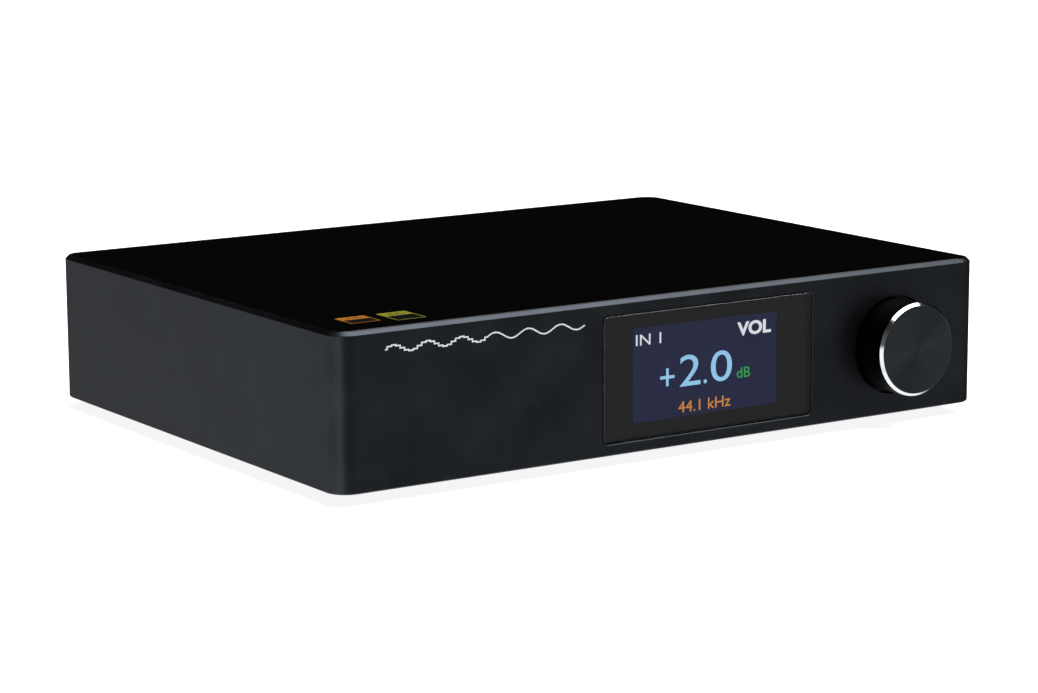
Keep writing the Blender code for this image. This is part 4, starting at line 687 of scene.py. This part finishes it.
MARK_LEFT, MARK_RIGHT, MARK_HEIGHT, MARK_WAVES, MARK_STEPS = -80.9, -27.0, 35.0, 6, 8
MARK_SWING, MARK_STROKE, INK_THICKNESS = 0.85, 0.34, 0.02
stairs = np.arange(MARK_WAVES // 2 * MARK_STEPS + 1)
level = np.sin(2 * np.pi * stairs / MARK_STEPS)
edges = np.clip(stairs[:, None] + (-0.5, 0.5), 0, stairs[-1]) / MARK_STEPS
staircase = np.column_stack([edges.ravel(), np.repeat(level, 2)])
curve_x = np.linspace(MARK_WAVES / 2, MARK_WAVES, 300)[1:]
curve = np.column_stack([curve_x, np.sin(2 * np.pi * curve_x)])
stretch = (MARK_RIGHT - MARK_LEFT) / MARK_WAVES, MARK_SWING
mark_path = np.vstack([staircase, curve]) * stretch + (MARK_LEFT, 0.0)
mark = stroke("printed_wave_mark", mark_path, MARK_STROKE, -0.01, INK_THICKNESS, FRONT,
              (0.0, front_y, MARK_HEIGHT))
fixed(mark, ink)

# %% Two foil labels
LABEL_FILM, LABEL_INK = 0.02, 0.015
lid_top = glass_high[2] - LID_DROP


def foil_label(name, low, high, foil):
    """A film with a printed border, and a block of foil over its back half that five bars are left out of."""
    low, high = np.array(low), np.array(high)
    size, at = high - low, (*(low + high) / 2, lid_top)
    film = milled(name + "_film", size, 0.4, [(0.0, -0.005), (0.0, LABEL_FILM)], UPRIGHT, at, 4)
    fixed(film, label_black)
    printed = milled(name + "_foil", size - 0.3, 0.3, [
        (0.0, LABEL_FILM - 0.005), (0.0, LABEL_FILM + LABEL_INK)], UPRIGHT, at, 4)
    inner = size - 0.9
    carve(printed, "DIFFERENCE", [
        drawn("cut", shape, -1.0, 1.0, UPRIGHT, at) for shape in (
            rectangle(*-inner / 2, inner[0] / 2, 0.06 * size[1]),
            *[rectangle(x - 0.22, 0.16 * size[1], x + 0.22, (0.22 + rise) * size[1] / 2)
              for x, rise in zip(np.linspace(-0.26, 0.26, 5) * size[0], (0.25, 0.48, 0.34, 0.58, 0.30))],
        )
    ])
    fixed(printed, foil)


foil_label("lid_label_left", (-84.0, -59.9), (-76.0, -51.9), gold_foil)
foil_label("lid_label_right", (-73.2, -62.0), (-65.2, -52.0), lime_foil)
print("label top under the rim, mm:", round(top_z - lid_top - LABEL_FILM - LABEL_INK, 3))

# %% [markdown]
# ## Behind: the plate
# The sockets stand in a black plate let into the back. It is milled like the lid, and every hole is opened
# with the same flared cutters as the box. The letters are only sides and numbers.

# %% The rear plate and its holes
def behind(node, level=None):
    """The middle of a socket on the rear face: its own height, or the plate's middle where it has a foot."""
    _, _, middle = span(node)
    return middle[0], rear_y, panel_mid[2] if level is None else level


def reach(node, level=None):
    """Where a socket stands, how deep it goes behind the rear face and how far it comes out of it."""
    low, high, _ = span(node)
    return behind(node, level), rear_y - low[1], high[1] - rear_y


def face_size(node):
    """Width and height of a solid seen from behind."""
    low, high, _ = span(node)
    return (high - low)[[0, 2]]


usb_mid, optical_mid = span("usb_socket")[2], span("optical_socket")[2]
OVERLAP = 0.8
plate_thickness = panel_high[1] - panel_low[1]
plate = milled("socket_plate", panel_size, PANEL_CORNER, slab(plate_thickness, EDGE), REAR, panel_at)
screw_nodes = family("rear_screw")
through = -plate_thickness - OVER
round_holes = [(behind(name), span(name)[1][0] - span(name)[2][0] - OVERLAP + GAP)
               for name in ("xlr_left_housing", "xlr_right_housing")]
round_holes += [(behind(name), 4.45) for name in ("rca_left", "rca_right", "coaxial_jack")]
round_holes += [(behind("antenna_socket"), 3.4)]
round_holes += [((span(name)[2][0], rear_y, span(name)[2][2]), 1.55) for name in screw_nodes]
inlet_size, switch_size = face_size("mains_inlet"), face_size("power_switch")
usb_size = face_size("usb_socket")
optical_side = face_size("optical_socket")[0]
square_holes = [
    (behind("usb_socket", usb_mid[2]), usb_size + 2 * GAP), (behind("mains_inlet"), inlet_size - 2 * OVERLAP),
    (behind("optical_socket", optical_mid[2]), (optical_side - 2 * OVERLAP + 2 * GAP,) * 2),
    (behind("power_switch"), switch_size - 2 * OVERLAP),
]
carve(plate, "DIFFERENCE",
      [round_mouth(radius, through, 0.0, REAR, at) for at, radius in round_holes]
      + [mouth(size, 0.1, through, 0.0, REAR, at, 2) for at, size in square_holes])
fixed(smooth(plate, 22), anodised, ["rear_panel"])

SIGN_RISE = 13.3
signs = (
    ("sign_right_balanced", "R", "xlr_right_housing"), ("sign_left_balanced", "L", "xlr_left_housing"),
    ("sign_right", "R", "rca_right"), ("sign_left", "L", "rca_left"), ("sign_first", "1", "usb_socket"),
    ("sign_second", "2", "optical_socket"), ("sign_third", "3", "coaxial_jack"),
)
SIGN_WIDTH = {"1": 0.34}
for name, text, node_name in signs:
    half = SIGN_WIDTH.get(text, 1.3) / 2
    written(name, text, (-half, SIGN_RISE - 1.0), (half, SIGN_RISE + 1.0), ink, 0.01, REAR, behind(node_name),
            -0.01)
print("holes in the plate:", len(round_holes) + len(square_holes))

# %% [markdown]
# ## Balanced outputs
# A moulded housing with a bore for the plug, a keyway at its top, and three gold pins in an insulating disc.

# %% Housings, discs and pins
XLR_FLANGE, XLR_WALL, XLR_BORE_DEPTH, DISC = 0.8, 1.1, 15.0, 3.0
PIN_RADIUS, PIN_CIRCLE, PIN_LENGTH = 1.2, 4.0, 10.5


def contact_pin(low, high, at):
    """A straight pin whose end is a half circle in profile: radius times sine, and height plus its cosine."""
    turn = np.linspace(np.pi / 2, 0.0, 7)
    dome = np.column_stack([PIN_RADIUS * np.sin(turn), high - PIN_RADIUS + PIN_RADIUS * np.cos(turn)])
    return turned("pin", np.vstack([[(0.0, low), (PIN_RADIUS, low)], dome]), REAR, at, 32)


for side in ("left", "right"):
    node_name = f"xlr_{side}_housing"
    at, deep, out = reach(node_name)
    low, high, middle = span(node_name)
    radius = high[0] - middle[0]
    body = radius - XLR_FLANGE
    bore, floor_level = body - XLR_WALL, out - XLR_BORE_DEPTH
    profile = eased([
        (0.0, -deep), (body, -deep), (body, GAP), (radius, GAP), (radius, out - 0.3), (radius - 0.5, out),
        (bore + 0.5, out), (bore, out - 0.5), (bore, floor_level), (0.0, floor_level),
    ], 0.15)
    housing = turned(f"balanced_{side}_housing", profile, REAR, at, 96)
    foot = rectangle(-radius / 2, low[2] - at[2], radius / 2, 0.0)
    carve(housing, "UNION", [drawn("foot", foot, -deep, floor_level - GAP, REAR, at)])
    keyway = rectangle(-1.3, bore - 0.6, 1.3, bore + 0.7)
    carve(housing, "DIFFERENCE", [drawn("keyway", keyway, out - 7, out + OVER, REAR, at)])
    fixed(smooth(housing), black_plastic, [node_name])
    disc_low, disc_top = floor_level + GAP, floor_level + GAP + DISC
    disc_profile = eased(rectangle(0.0, disc_low, bore - GAP, disc_top), 0.2)
    disc = turned(f"balanced_{side}_disc", disc_profile, REAR, at)
    fixed(smooth(disc), insulator_plastic, [f"xlr_{side}_insert"])
    pins = []
    for angle in np.radians((30.0, 150.0, 270.0)):
        shift = REAR @ (PIN_CIRCLE * math.cos(angle), PIN_CIRCLE * math.sin(angle), 0.0)
        pins.append(contact_pin(disc_top - 0.5, disc_top + PIN_LENGTH, at + shift))
    pins[0].name = f"balanced_{side}_pins"
    fixed(smooth(carve(pins[0], "UNION", pins[1:])), gold)
print("balanced outputs: 2, bore", round(bore, 1), "mm")

# %% [markdown]
# ## Phono and radio sockets
# A phono socket is a gold-plated sleeve round a coloured insulator with a contact inside. Red and white are
# the usual colours for right and left. The radio socket has a real screw thread: its radius falls and rises
# with the height plus the turn, which makes one continuous helix.

# %% Phono sockets
PHONO_BARREL, PHONO_BORE, PHONO_CONTACT = 4.15, 3.15, 1.55
for node_name, insulator in (
        ("rca_left", white_nylon), ("rca_right", red_nylon), ("coaxial_jack", orange_nylon)):
    low, high, middle = span(node_name)
    at, deep, out = reach(node_name)
    flange, behind_plate = high[0] - middle[0], -plate_thickness - GAP
    sleeve = turned(f"{node_name}_sleeve", eased([
        (0.0, behind_plate - 1.0), (PHONO_BARREL, behind_plate - 1.0), (PHONO_BARREL, GAP), (flange, GAP),
        (flange, 1.2), (PHONO_BARREL, 1.2), (PHONO_BARREL, out - 0.35),
        (PHONO_BARREL - 0.3, out), (PHONO_BORE, out), (PHONO_BORE, 0.8), (0.0, 0.8),
    ], 0.10), REAR, at)
    fixed(smooth(sleeve), gold, [node_name])
    block = milled(f"{node_name}_block", (2 * flange, high[2] - low[2]), 0.4,
                   [(0.2, -deep), (0.0, 0.2 - deep), (0.0, behind_plate)], REAR,
                   (middle[0], rear_y, middle[2]), 3)
    fixed(smooth(block), black_plastic)
    inner, outer = PHONO_CONTACT + 0.05, PHONO_BORE - 0.05
    filling = turned(f"{node_name}_insulator", [
        (inner, 1.0), (outer, 1.0), (outer, out - 0.5), (outer - 0.2, out - 0.3), (inner + 0.2, out - 0.3),
        (inner, out - 0.5),
    ], REAR, at, 64, looped=True)
    fixed(smooth(filling), insulator)
    contact = turned(f"{node_name}_contact", rectangle(1.2, 1.0, PHONO_CONTACT, out - 0.7), REAR, at, 48,
                     looped=True)
    fixed(smooth(contact), gold)

# %% The radio socket with its thread and nut
THREAD_PITCH, THREAD_DEPTH, THREAD_BORE = 0.7, 0.30, 2.2
low, high, middle = span("antenna_socket")
at, deep, out = reach("antenna_socket")
thread_radius = 3.1
ROWS, STEPS = 120, 48
heights = np.linspace(-plate_thickness, out - 0.3, ROWS)
turns = np.arange(STEPS) / STEPS
phase = (heights[:, None] / THREAD_PITCH + turns) % 1.0
ridge = thread_radius - THREAD_DEPTH * (1 - np.abs(2 * phase - 1))
ridge = np.minimum(ridge, thread_radius - np.clip(heights - (out - 1.0), 0, None)[:, None] * 0.6)
flat = np.array([[THREAD_BORE, out - 0.3], [THREAD_BORE, 1.2], [0.0, 1.2]])
around = np.stack([np.cos(2 * np.pi * turns), np.sin(2 * np.pi * turns)], -1)
levels = np.broadcast_to(heights[:, None, None], (ROWS, STEPS, 1))
outer_rings = np.concatenate([ridge[..., None] * around, levels], -1)
flat_levels = np.broadcast_to(flat[:, None, 1:], (len(flat), STEPS, 1))
inner_rings = np.concatenate([flat[:, None, :1] * around, flat_levels], -1)
thread = grid_piece("radio_socket_thread", placed(np.concatenate([outer_rings, inner_rings]), REAR, at))
fixed(smooth(thread, 50), gold, ["antenna_socket"])
core = turned("radio_socket_core", rectangle(0.75, 1.3, THREAD_BORE - 0.05, out - 0.9), REAR, at, 48,
              looped=True)
fixed(smooth(core), white_nylon)
collar = high[0] - middle[0]
tail = turned("radio_socket_tail", eased([
    (0.0, -deep), (2.2, -deep), (2.2, -4.3), (collar, -4.3), (collar, -plate_thickness - GAP),
    (0.0, -plate_thickness - GAP),
], 0.1), REAR, at, 32)
fixed(smooth(tail), gold)


def hexagon(across, start):
    """Six corners a sixth of a turn apart, at the width over the flats divided by the root of three."""
    angle = np.radians(start + 60 * np.arange(6))
    return across / math.sqrt(3) * np.column_stack([np.cos(angle), np.sin(angle)])


def hexagon_nut(name, across, low, high, bore, axes, at):
    """A hexagon cut out of a turned blank whose edges slope, as a nut's corners do, with a flared hole."""
    nut = drawn(name, hexagon(across, 30), low, high, axes, at)
    slope = 0.35
    half = across / 2
    blank = turned("blank", [
        (0.0, low - 1.0), (half + slope - 0.2, low - 1.0), (half + slope, low + slope),
        (half + slope, high - slope), (half - slope, high), (half - slope, high + 1.0), (0.0, high + 1.0),
    ], axes, at, 64)
    carve(nut, "INTERSECT", [blank])
    carve(nut, "DIFFERENCE", [round_mouth(bore, low - 1.0, high, axes, at, 48, 0.2)])
    return smooth(nut, 25)


nut_low, nut_high, _ = span("antenna_nut")
nut = hexagon_nut("radio_socket_nut", nut_high[0] - nut_low[0], nut_low[1] - rear_y, nut_high[1] - rear_y,
                  thread_radius + 0.05, REAR, at)
fixed(nut, gold, ["antenna_nut"])
print("thread turns:", round((out + plate_thickness) / THREAD_PITCH, 1))

# %% [markdown]
# ## Square sockets
# The digital input is a folded steel shell with a plastic tongue and four contacts, the optical input a
# plastic block whose shutter keeps its own solid, and the mains inlet a moulding with two pins.

# %% Digital and optical inputs
at, usb_deep, usb_out = reach("usb_socket", usb_mid[2])
usb_shell = milled("digital_input_shell", usb_size, 0.5, eased([
    (0.1, -usb_deep), (0.0, 0.1 - usb_deep), (0.0, usb_out - 0.12), (0.12, usb_out),
], 0.04), REAR, at, 5)
x, y, cut = usb_size[0] / 2 - 1.4, usb_size[1] / 2 - 1.3, 1.6
usb_mouth = [(-x, -y), (x, -y), (x, y - cut), (x - cut, y), (cut - x, y), (-x, y - cut)]
carve(usb_shell, "DIFFERENCE", [drawn("mouth", usb_mouth, usb_out - 9, usb_out + OVER, REAR, at)])
fixed(smooth(usb_shell, 22), nickel, ["usb_socket"])
tongue = milled("digital_input_tongue", (5.6, 3.2), 0.3, [
    (0.0, usb_out - 9.2), (0.0, usb_out - 1.3), (0.3, usb_out - 1.0)], REAR, at, 3)
fixed(smooth(tongue), insulator_plastic)
blades = [
    milled("blade", (1.0, 0.16), 0.04, [(0.0, usb_out - 9.2), (0.0, usb_out - 1.6)],
           REAR, (at[0] + side * 1.4, at[1], at[2] + end * 1.62), 1)
    for side in (-1, 1) for end in (-1, 1)
]
blades[0].name = "digital_input_contacts"
fixed(carve(blades[0], "UNION", blades[1:]), gold)

at, optical_deep, optical_out = reach("optical_socket", optical_mid[2])
snout, optical_mouth = optical_side - 2 * OVERLAP, optical_side - 3
optical = milled("optical_input_block", (optical_side,) * 2, 0.3, [
    (0.2, -optical_deep), (0.0, 0.2 - optical_deep), (0.0, -plate_thickness - GAP)], REAR, at, 3)
nose = milled("nose", (snout,) * 2, 0.3, [
    (0.0, -plate_thickness - 1.0), (0.0, optical_out - 0.15), (0.15, optical_out)], REAR, at, 3)
carve(optical, "UNION", [nose])
pivot_at = (at[0], rear_y - 0.8, at[2] + optical_mouth / 2 - 0.9)
ACROSS = np.array([[0.0, 0, 1], [1, 0, 0], [0, 1, 0]])
carve(optical, "DIFFERENCE", [
    mouth((optical_mouth,) * 2, 0.05, optical_out - 9, optical_out, REAR, at, 1, 0.1),
    turned("pin_hole", rectangle(0.0, -3.9, 0.57, 3.9), ACROSS, pivot_at, 24),
])
fixed(smooth(optical, 22), black_plastic, ["optical_socket"])
print("optical mouth in mm:", round(optical_mouth, 2))

# %% Mains inlet
def flanged(name, size, ease, corners, steps, at, deep, out):
    """A flange that lies on the plate, its edge eased, joined to the smaller body that goes through it."""
    flange = milled(name, size, corners[0], eased([
        (0.0, GAP), (0.0, out - ease), (ease, out), (1.0, out)], 0.1), REAR, at, steps[0])
    body = milled("body", size - 2 * OVERLAP - 2 * GAP, corners[1], [(0.0, -deep), (0.0, out - 0.3)],
                  REAR, at, steps[1])
    return carve(flange, "UNION", [body])


at, inlet_deep, inlet_out = reach("mains_inlet")
inlet = flanged("mains_inlet_moulding", inlet_size, 0.4, (2.0, 0.5), (8, 3), at, inlet_deep, inlet_out)
inlet_mouth = inlet_size - (3.8, 4.7)
mouth_floor = inlet_out - 13
carve(inlet, "DIFFERENCE", [
    mouth(inlet_mouth, inlet_mouth[1] / 2 - GAP, mouth_floor, inlet_out, REAR, at, 12, 0.3)])
fixed(smooth(inlet, 25), black_plastic, ["mains_inlet"])
mains_pins = [contact_pin(mouth_floor - 0.5, mouth_floor + 10, (at[0] + side * 4.3, at[1], at[2]))
              for side in (-1, 1)]
mains_pins[0].name = "mains_inlet_pins"
fixed(smooth(carve(mains_pins[0], "UNION", mains_pins[1:])), nickel)

# %% [markdown]
# ## Power switch
# The rocker's two halves form a shallow V, so the pressed half lies level with the bezel and the other stands
# up. It is one outline, carried across its width and rounded at its edges. It rides on its own body, so its
# frame is the hinge's: Z along the pin and X into the plate, tipped by twelve degrees at rest.

# %% Bezel, rocker and its two marks
TILT, PIVOT_DEPTH, ROCKER_WIDTH, ROCKER_HALF = math.radians(-12.0), 1.0, 9.0, 7.3
HEEL_DEPTH, KEEL_DEPTH, KEEL_HALF = 1.2, 3.2, 2.0
END_RISE, WAIST_RISE = 3.2, 1.9
at, switch_deep, switch_out = reach("power_switch")
bezel = flanged("switch_bezel", switch_size, 0.35, (1.0, 0.3), (6, 2), at, switch_deep, switch_out)
HOLLOW_END = 2.4 + 2 * OVERLAP + 2 * GAP
pivot = np.array(at) - (0, PIVOT_DEPTH, 0)
carve(bezel, "DIFFERENCE", [
    mouth((ROCKER_WIDTH + 2 * GAP, switch_size[1] - HOLLOW_END), 0.1, -switch_deep / 2 - PIVOT_DEPTH,
          switch_out, REAR, at, 1, 0.15),
    turned("pin_hole", rectangle(0.0, -5.5, 1.12, 5.5), ACROSS, pivot, 32),
])
fixed(smooth(bezel, 22), black_plastic, ["power_switch"])

quarter = np.array([[0.0, 0, 1], [0, 1, 0], [-1, 0, 0]])
tip = np.array([[math.cos(TILT), -math.sin(TILT), 0], [math.sin(TILT), math.cos(TILT), 0], [0, 0, 1]])
rocker_axes = REAR @ quarter @ tip
rocker_outline = eased([
    (-END_RISE, ROCKER_HALF), (-WAIST_RISE, 0.0), (-END_RISE, -ROCKER_HALF), (HEEL_DEPTH, -ROCKER_HALF),
    (KEEL_DEPTH, -KEEL_HALF), (KEEL_DEPTH, KEEL_HALF), (HEEL_DEPTH, ROCKER_HALF),
], 0.9, 5, closed=True)
centre = rocker_outline.mean(0)
half, soft = ROCKER_WIDTH / 2, 0.25
rings = []
for inset, level in ((soft, -half), (0.07, 0.07 - half), (0.0, soft - half), (0.0, half - soft),
                     (0.07, half - 0.07), (soft, half)):
    inward = centre - rocker_outline
    inward /= np.linalg.norm(inward, axis=1, keepdims=True)
    rings.append(np.column_stack([rocker_outline + inward * inset, np.full(len(rocker_outline), level)]))
rocker = grid_piece("switch_rocker", placed(np.array(rings), rocker_axes, pivot))
carve(rocker, "UNION", [turned("pin", rectangle(0.0, -5.35, 1.0, 5.35), rocker_axes, pivot, 32)])
wear(smooth(rocker, 25), [rocker_plastic], "switch_rocker", ["power_rocker"])

slope = math.atan2(END_RISE - WAIST_RISE, ROCKER_HALF)
mark_y = 0.55 * ROCKER_HALF
mark_x = -WAIST_RISE - mark_y * math.tan(slope)
for name, sign in (("rocker_mark_on", 1), ("rocker_mark_off", -1)):
    fall, run = sign * math.sin(slope), math.cos(slope)
    face = rocker_axes @ [[0.0, -fall, -run], [0, run, -fall], [1, 0, 0]]
    seat_at = rocker_axes @ (mark_x, sign * mark_y, 0.0) + pivot
    if sign > 0:
        printed = milled(name, (0.42, 2.4), 0.1, [(0.0, -0.05), (0.0, 0.03)], face, seat_at, 3)
    else:
        printed = turned(name, rectangle(0.85, -0.05, 1.22, 0.03), face, seat_at, 48, looped=True)
    wear(printed, [ink], "switch_rocker")
print("rocker slope in degrees:", round(math.degrees(slope), 1))

# %% [markdown]
# ## Screws, feet and the cover below
# All screws have a hexagon socket. The feet are soft discs with a groove. Most people never see this side,
# but the model can be turned over.

# %% Screws with a hexagon socket
def socket_screw(name, profile, across, depth, top, axes, at):
    """A turned screw with a hexagon pressed into its head."""
    screw = turned(name, profile, axes, at, 48)
    key = drawn("key", hexagon(across, 0), top - depth, top + 1.0, axes, at)
    return smooth(carve(screw, "DIFFERENCE", [key]), 25)


for node_name in screw_nodes:
    low, high, middle = span(node_name)
    head, length, rise = high[0] - middle[0], rear_y + GAP - low[1], high[1] - rear_y - GAP
    thread_r = head / 1.9
    screw = socket_screw("plate" + node_name[4:], eased([
        (0.0, -length), (thread_r * 0.7, -length), (thread_r, thread_r * 0.5 - length), (thread_r, 0.0),
        (head, 0.0), (head, rise * 0.45), (head * 0.72, rise), (0.0, rise),
    ], 0.12), 1.5, rise * 0.8, rise, REAR, (middle[0], rear_y + GAP, middle[2]))
    fixed(screw, screw_metal, [node_name])
cover_screws = family("cover_screw")
for node_name in cover_screws:
    low, high, middle = span(node_name)
    head, length = high[0] - middle[0], high[2] - low[2]
    thread_r = head / 1.9
    screw = socket_screw("base_screw" + node_name[11:], [
        (0.0, -length), (thread_r * 0.7, -length), (thread_r, thread_r * 0.5 - length),
        (thread_r, thread_r - head), (head - 0.05, -0.08), (head - 0.15, 0.0), (0.0, 0.0),
    ], 1.5, 1.0, 0.0, UNDER, (middle[0], middle[1], low[2]))
    fixed(screw, screw_metal, [node_name])

# %% Feet and the cover
for node_name in family("foot"):
    low, high, middle = span(node_name)
    radius, top = high[0] - middle[0], high[2]
    foot = turned("soft_" + node_name, eased([
        (0.0, top), (radius, top), (radius, 0.35 * top), (radius - 0.9, 0.0), (radius * 0.62, 0.0),
        (radius * 0.56, 0.35), (radius * 0.44, 0.35), (radius * 0.38, 0.0), (0.0, 0.0),
    ], 0.3, 4), UPRIGHT, (middle[0], middle[1], 0.0), 96)
    fixed(smooth(foot), rubber, [node_name])

cover_size, cover_thickness = (cover_high - cover_low)[:2], 1.5
cover = milled("base_cover", cover_size, 0.3, slab(cover_thickness, EDGE), UNDER,
               (cover_mid[0], cover_mid[1], base_z), 3)
board_screws = family("main_board_screw", "power_board_screw")
POST, POST_ROOT, POST_BORE, post_end = 3.0, -0.75, 1.55, -cover_high[2] + base_z
post_places = [(*span(name)[2][:2], base_z) for name in board_screws]
carve(cover, "UNION", [turned("post", rectangle(0.0, post_end, POST, POST_ROOT), UNDER, at, 32)
                       for at in post_places])
sinks = []
for node_name in cover_screws:
    low, high, middle = span(node_name)
    sink, hole = high[0] - middle[0] + GAP, 1.8
    sinks.append(turned("sink", [
        (0.0, -3), (hole, -3), (hole, hole - sink), (sink, 0.0), (sink, 1.0), (0.0, 1.0),
    ], UNDER, (middle[0], middle[1], base_z), 48))
sinks += [round_mouth(POST_BORE, post_end - 1.0, 0.0, UNDER, at, 32) for at in post_places]
carve(cover, "DIFFERENCE", sinks)
tidy(cover.data)
fixed(smooth(cover, 22), anodised, ["bottom_cover"])

# %% [markdown]
# ## Camera
# The view is from the front left and a little above, through a long lens, so that the edges stay nearly
# parallel. The angles place the camera's own axes, and a third of a degree of roll levels the picture.

# %% Place the camera
AZIMUTH, ELEVATION, ROLL = (math.radians(angle) for angle in (-33.499, 10.592, -0.289))
FOCAL, SENSOR = 109.03, 36.0
CAMERA_AT = (-0.434115, -0.656747, 0.163652)
back = np.array([math.sin(AZIMUTH) * math.cos(ELEVATION), -math.cos(AZIMUTH) * math.cos(ELEVATION),
                 math.sin(ELEVATION)])
level = np.array([math.cos(AZIMUTH), math.sin(AZIMUTH), 0.0])
upward = np.cross(back, level)
across = level * math.cos(ROLL) + upward * math.sin(ROLL)
over = upward * math.cos(ROLL) - level * math.sin(ROLL)
lens = bpy.data.cameras.new("camera")
lens.lens, lens.sensor_width, lens.clip_start, lens.clip_end = FOCAL, SENSOR, 0.01, 50.0
camera = bpy.data.objects.new("camera", lens)
pose = np.eye(4)
pose[:3, :3] = np.column_stack([across, over, back])
pose[:3, 3] = CAMERA_AT
camera.matrix_world = Matrix(pose)
bpy.context.scene.collection.objects.link(camera)
bpy.context.scene.camera = camera

# %% [markdown]
# ## Studio
# Black gloss shows its surroundings more than itself. So the studio is arranged by what each face mirrors: a
# wide lamp overhead for the chamfer and the knob's rim, a pale wall at the left for the side, and nothing
# behind, which keeps the lid dark. The floor lights the unit but is left out of its mirror images.

# %% Floor, lamps and surroundings
floor_mesh = bpy.data.meshes.new("floor")
FLOOR = 8.0
floor_corners = [(*corner, 0) for corner in rectangle(-FLOOR, -FLOOR, FLOOR, FLOOR)]
floor_mesh.from_pydata(floor_corners, [], [(0, 1, 2, 3)])
floor = bpy.data.objects.new("floor", floor_mesh)
bpy.context.scene.collection.objects.link(floor)
floor.visible_glossy = False
floor.visible_transmission = False
floor.visible_shadow = False
floor_material, floor_tree, floor_shader = shaded("pale_floor", Base_Color=linear("#e6e6e6"), Roughness=1.0,
                                                  Emission_Color=(1.0, 1.0, 1.0, 1.0), Specular_IOR_Level=0.0)
floor_place = node(floor_tree, "TexCoord").outputs["Object"]
distance = node(floor_tree, "VectorMath", {0: floor_place}, operation="LENGTH")
# The floor glows at 0.88 near the middle and at 1.0 beyond 0.3 m: the dimmer disc is a painted shade round
# the unit, on top of its real shadow.
painted_shade_round_unit = node(floor_tree, "MapRange", {
    "Value": distance.outputs["Value"], "From Min": 0.10, "From Max": 0.3, "To Min": 0.88, "To Max": 1.0,
}, interpolation_type="SMOOTHSTEP")
floor_tree.links.new(painted_shade_round_unit.outputs[0], floor_shader.inputs["Emission Strength"])
floor_mesh.materials.append(floor_material)


def softbox(name, direction, distance, size, radiance):
    """A square lamp of an even radiance that faces the middle of the unit from the given direction."""
    lamp = bpy.data.lights.new(name, "AREA")
    lamp.shape, lamp.size, lamp.size_y = "RECTANGLE", *size
    lamp.energy = radiance * math.pi * size[0] * size[1]
    holder = bpy.data.objects.new(name, lamp)
    direction = np.array(direction, float) / np.linalg.norm(direction)
    side = np.cross((0.0, 1.0, 0.0) if abs(direction[2]) > 0.9 else (0.0, 0.0, 1.0), direction)
    side /= np.linalg.norm(side)
    axes = np.eye(4)
    axes[:3, :3] = np.column_stack([side, np.cross(direction, side), direction])
    axes[:3, 3] = shell_mid * MM + direction * distance
    holder.matrix_world = Matrix(axes)
    holder.visible_camera = False
    bpy.context.scene.collection.objects.link(holder)


softbox("overhead_lamp", (0.25, -0.30, 0.92), 1.0, (1.1, 0.9), 4.5)

world = bpy.data.worlds.new("studio")
bpy.context.scene.world = world
world.use_nodes = True
sky = world.node_tree
direction = node(sky, "SeparateXYZ", {0: node(sky, "TexCoord").outputs["Generated"]})
heading = node(sky, "Math", {0: direction.outputs["Y"], 1: direction.outputs["X"]}, operation="ARCTAN2")
turn = node(sky, "MapRange", {"Value": heading.outputs[0], "From Min": -math.pi, "From Max": math.pi})
walls = node(sky, "ValToRGB", {0: turn.outputs[0]})
WALLS = (  # how bright the wall is at each share of a turn, from due left by way of the front
    (0.0, 0.70), (0.055, 0.80), (0.07, 1.1), (0.115, 1.1), (0.14, 0.16), (0.27, 0.16), (0.343, 0.30),
    (0.42, 0.20), (0.5, 0.06), (0.60, 0.04), (0.75, 0.04), (0.80, 0.30), (0.85, 0.62), (1.0, 0.70),
)
while len(walls.color_ramp.elements) < len(WALLS):
    walls.color_ramp.elements.new(0.5)
for stop, (place, level) in zip(walls.color_ramp.elements, WALLS):
    stop.position, stop.color = place, (level, level, level, 1.0)
low_part, steep = (node(sky, "MapRange", {
    "Value": direction.outputs["Z"], "From Min": low, "From Max": high, "To Min": below, "To Max": above,
}, interpolation_type="SMOOTHSTEP") for low, high, below, above in (
    (-0.05, 0.10, 1.0, 0.10), (-0.75, -0.45, 1.1, 0.0)))
level_light = node(sky, "Math", {0: walls.outputs[0], 1: low_part.outputs[0]}, operation="MULTIPLY")
studio_light = node(sky, "Math", {0: level_light.outputs[0], 1: steep.outputs[0]}, operation="MAXIMUM")
seen = node(sky, "LightPath").outputs["Is Camera Ray"]
shown = node(sky, "Math", {0: studio_light.outputs[0], 1: seen}, operation="MAXIMUM")
sky.links.new(shown.outputs[0], sky.nodes["Background"].inputs["Strength"])
sky.nodes["Background"].inputs["Color"].default_value = (1.0, 1.0, 1.0, 1.0)
bpy.context.scene.view_settings.view_transform = "Standard"
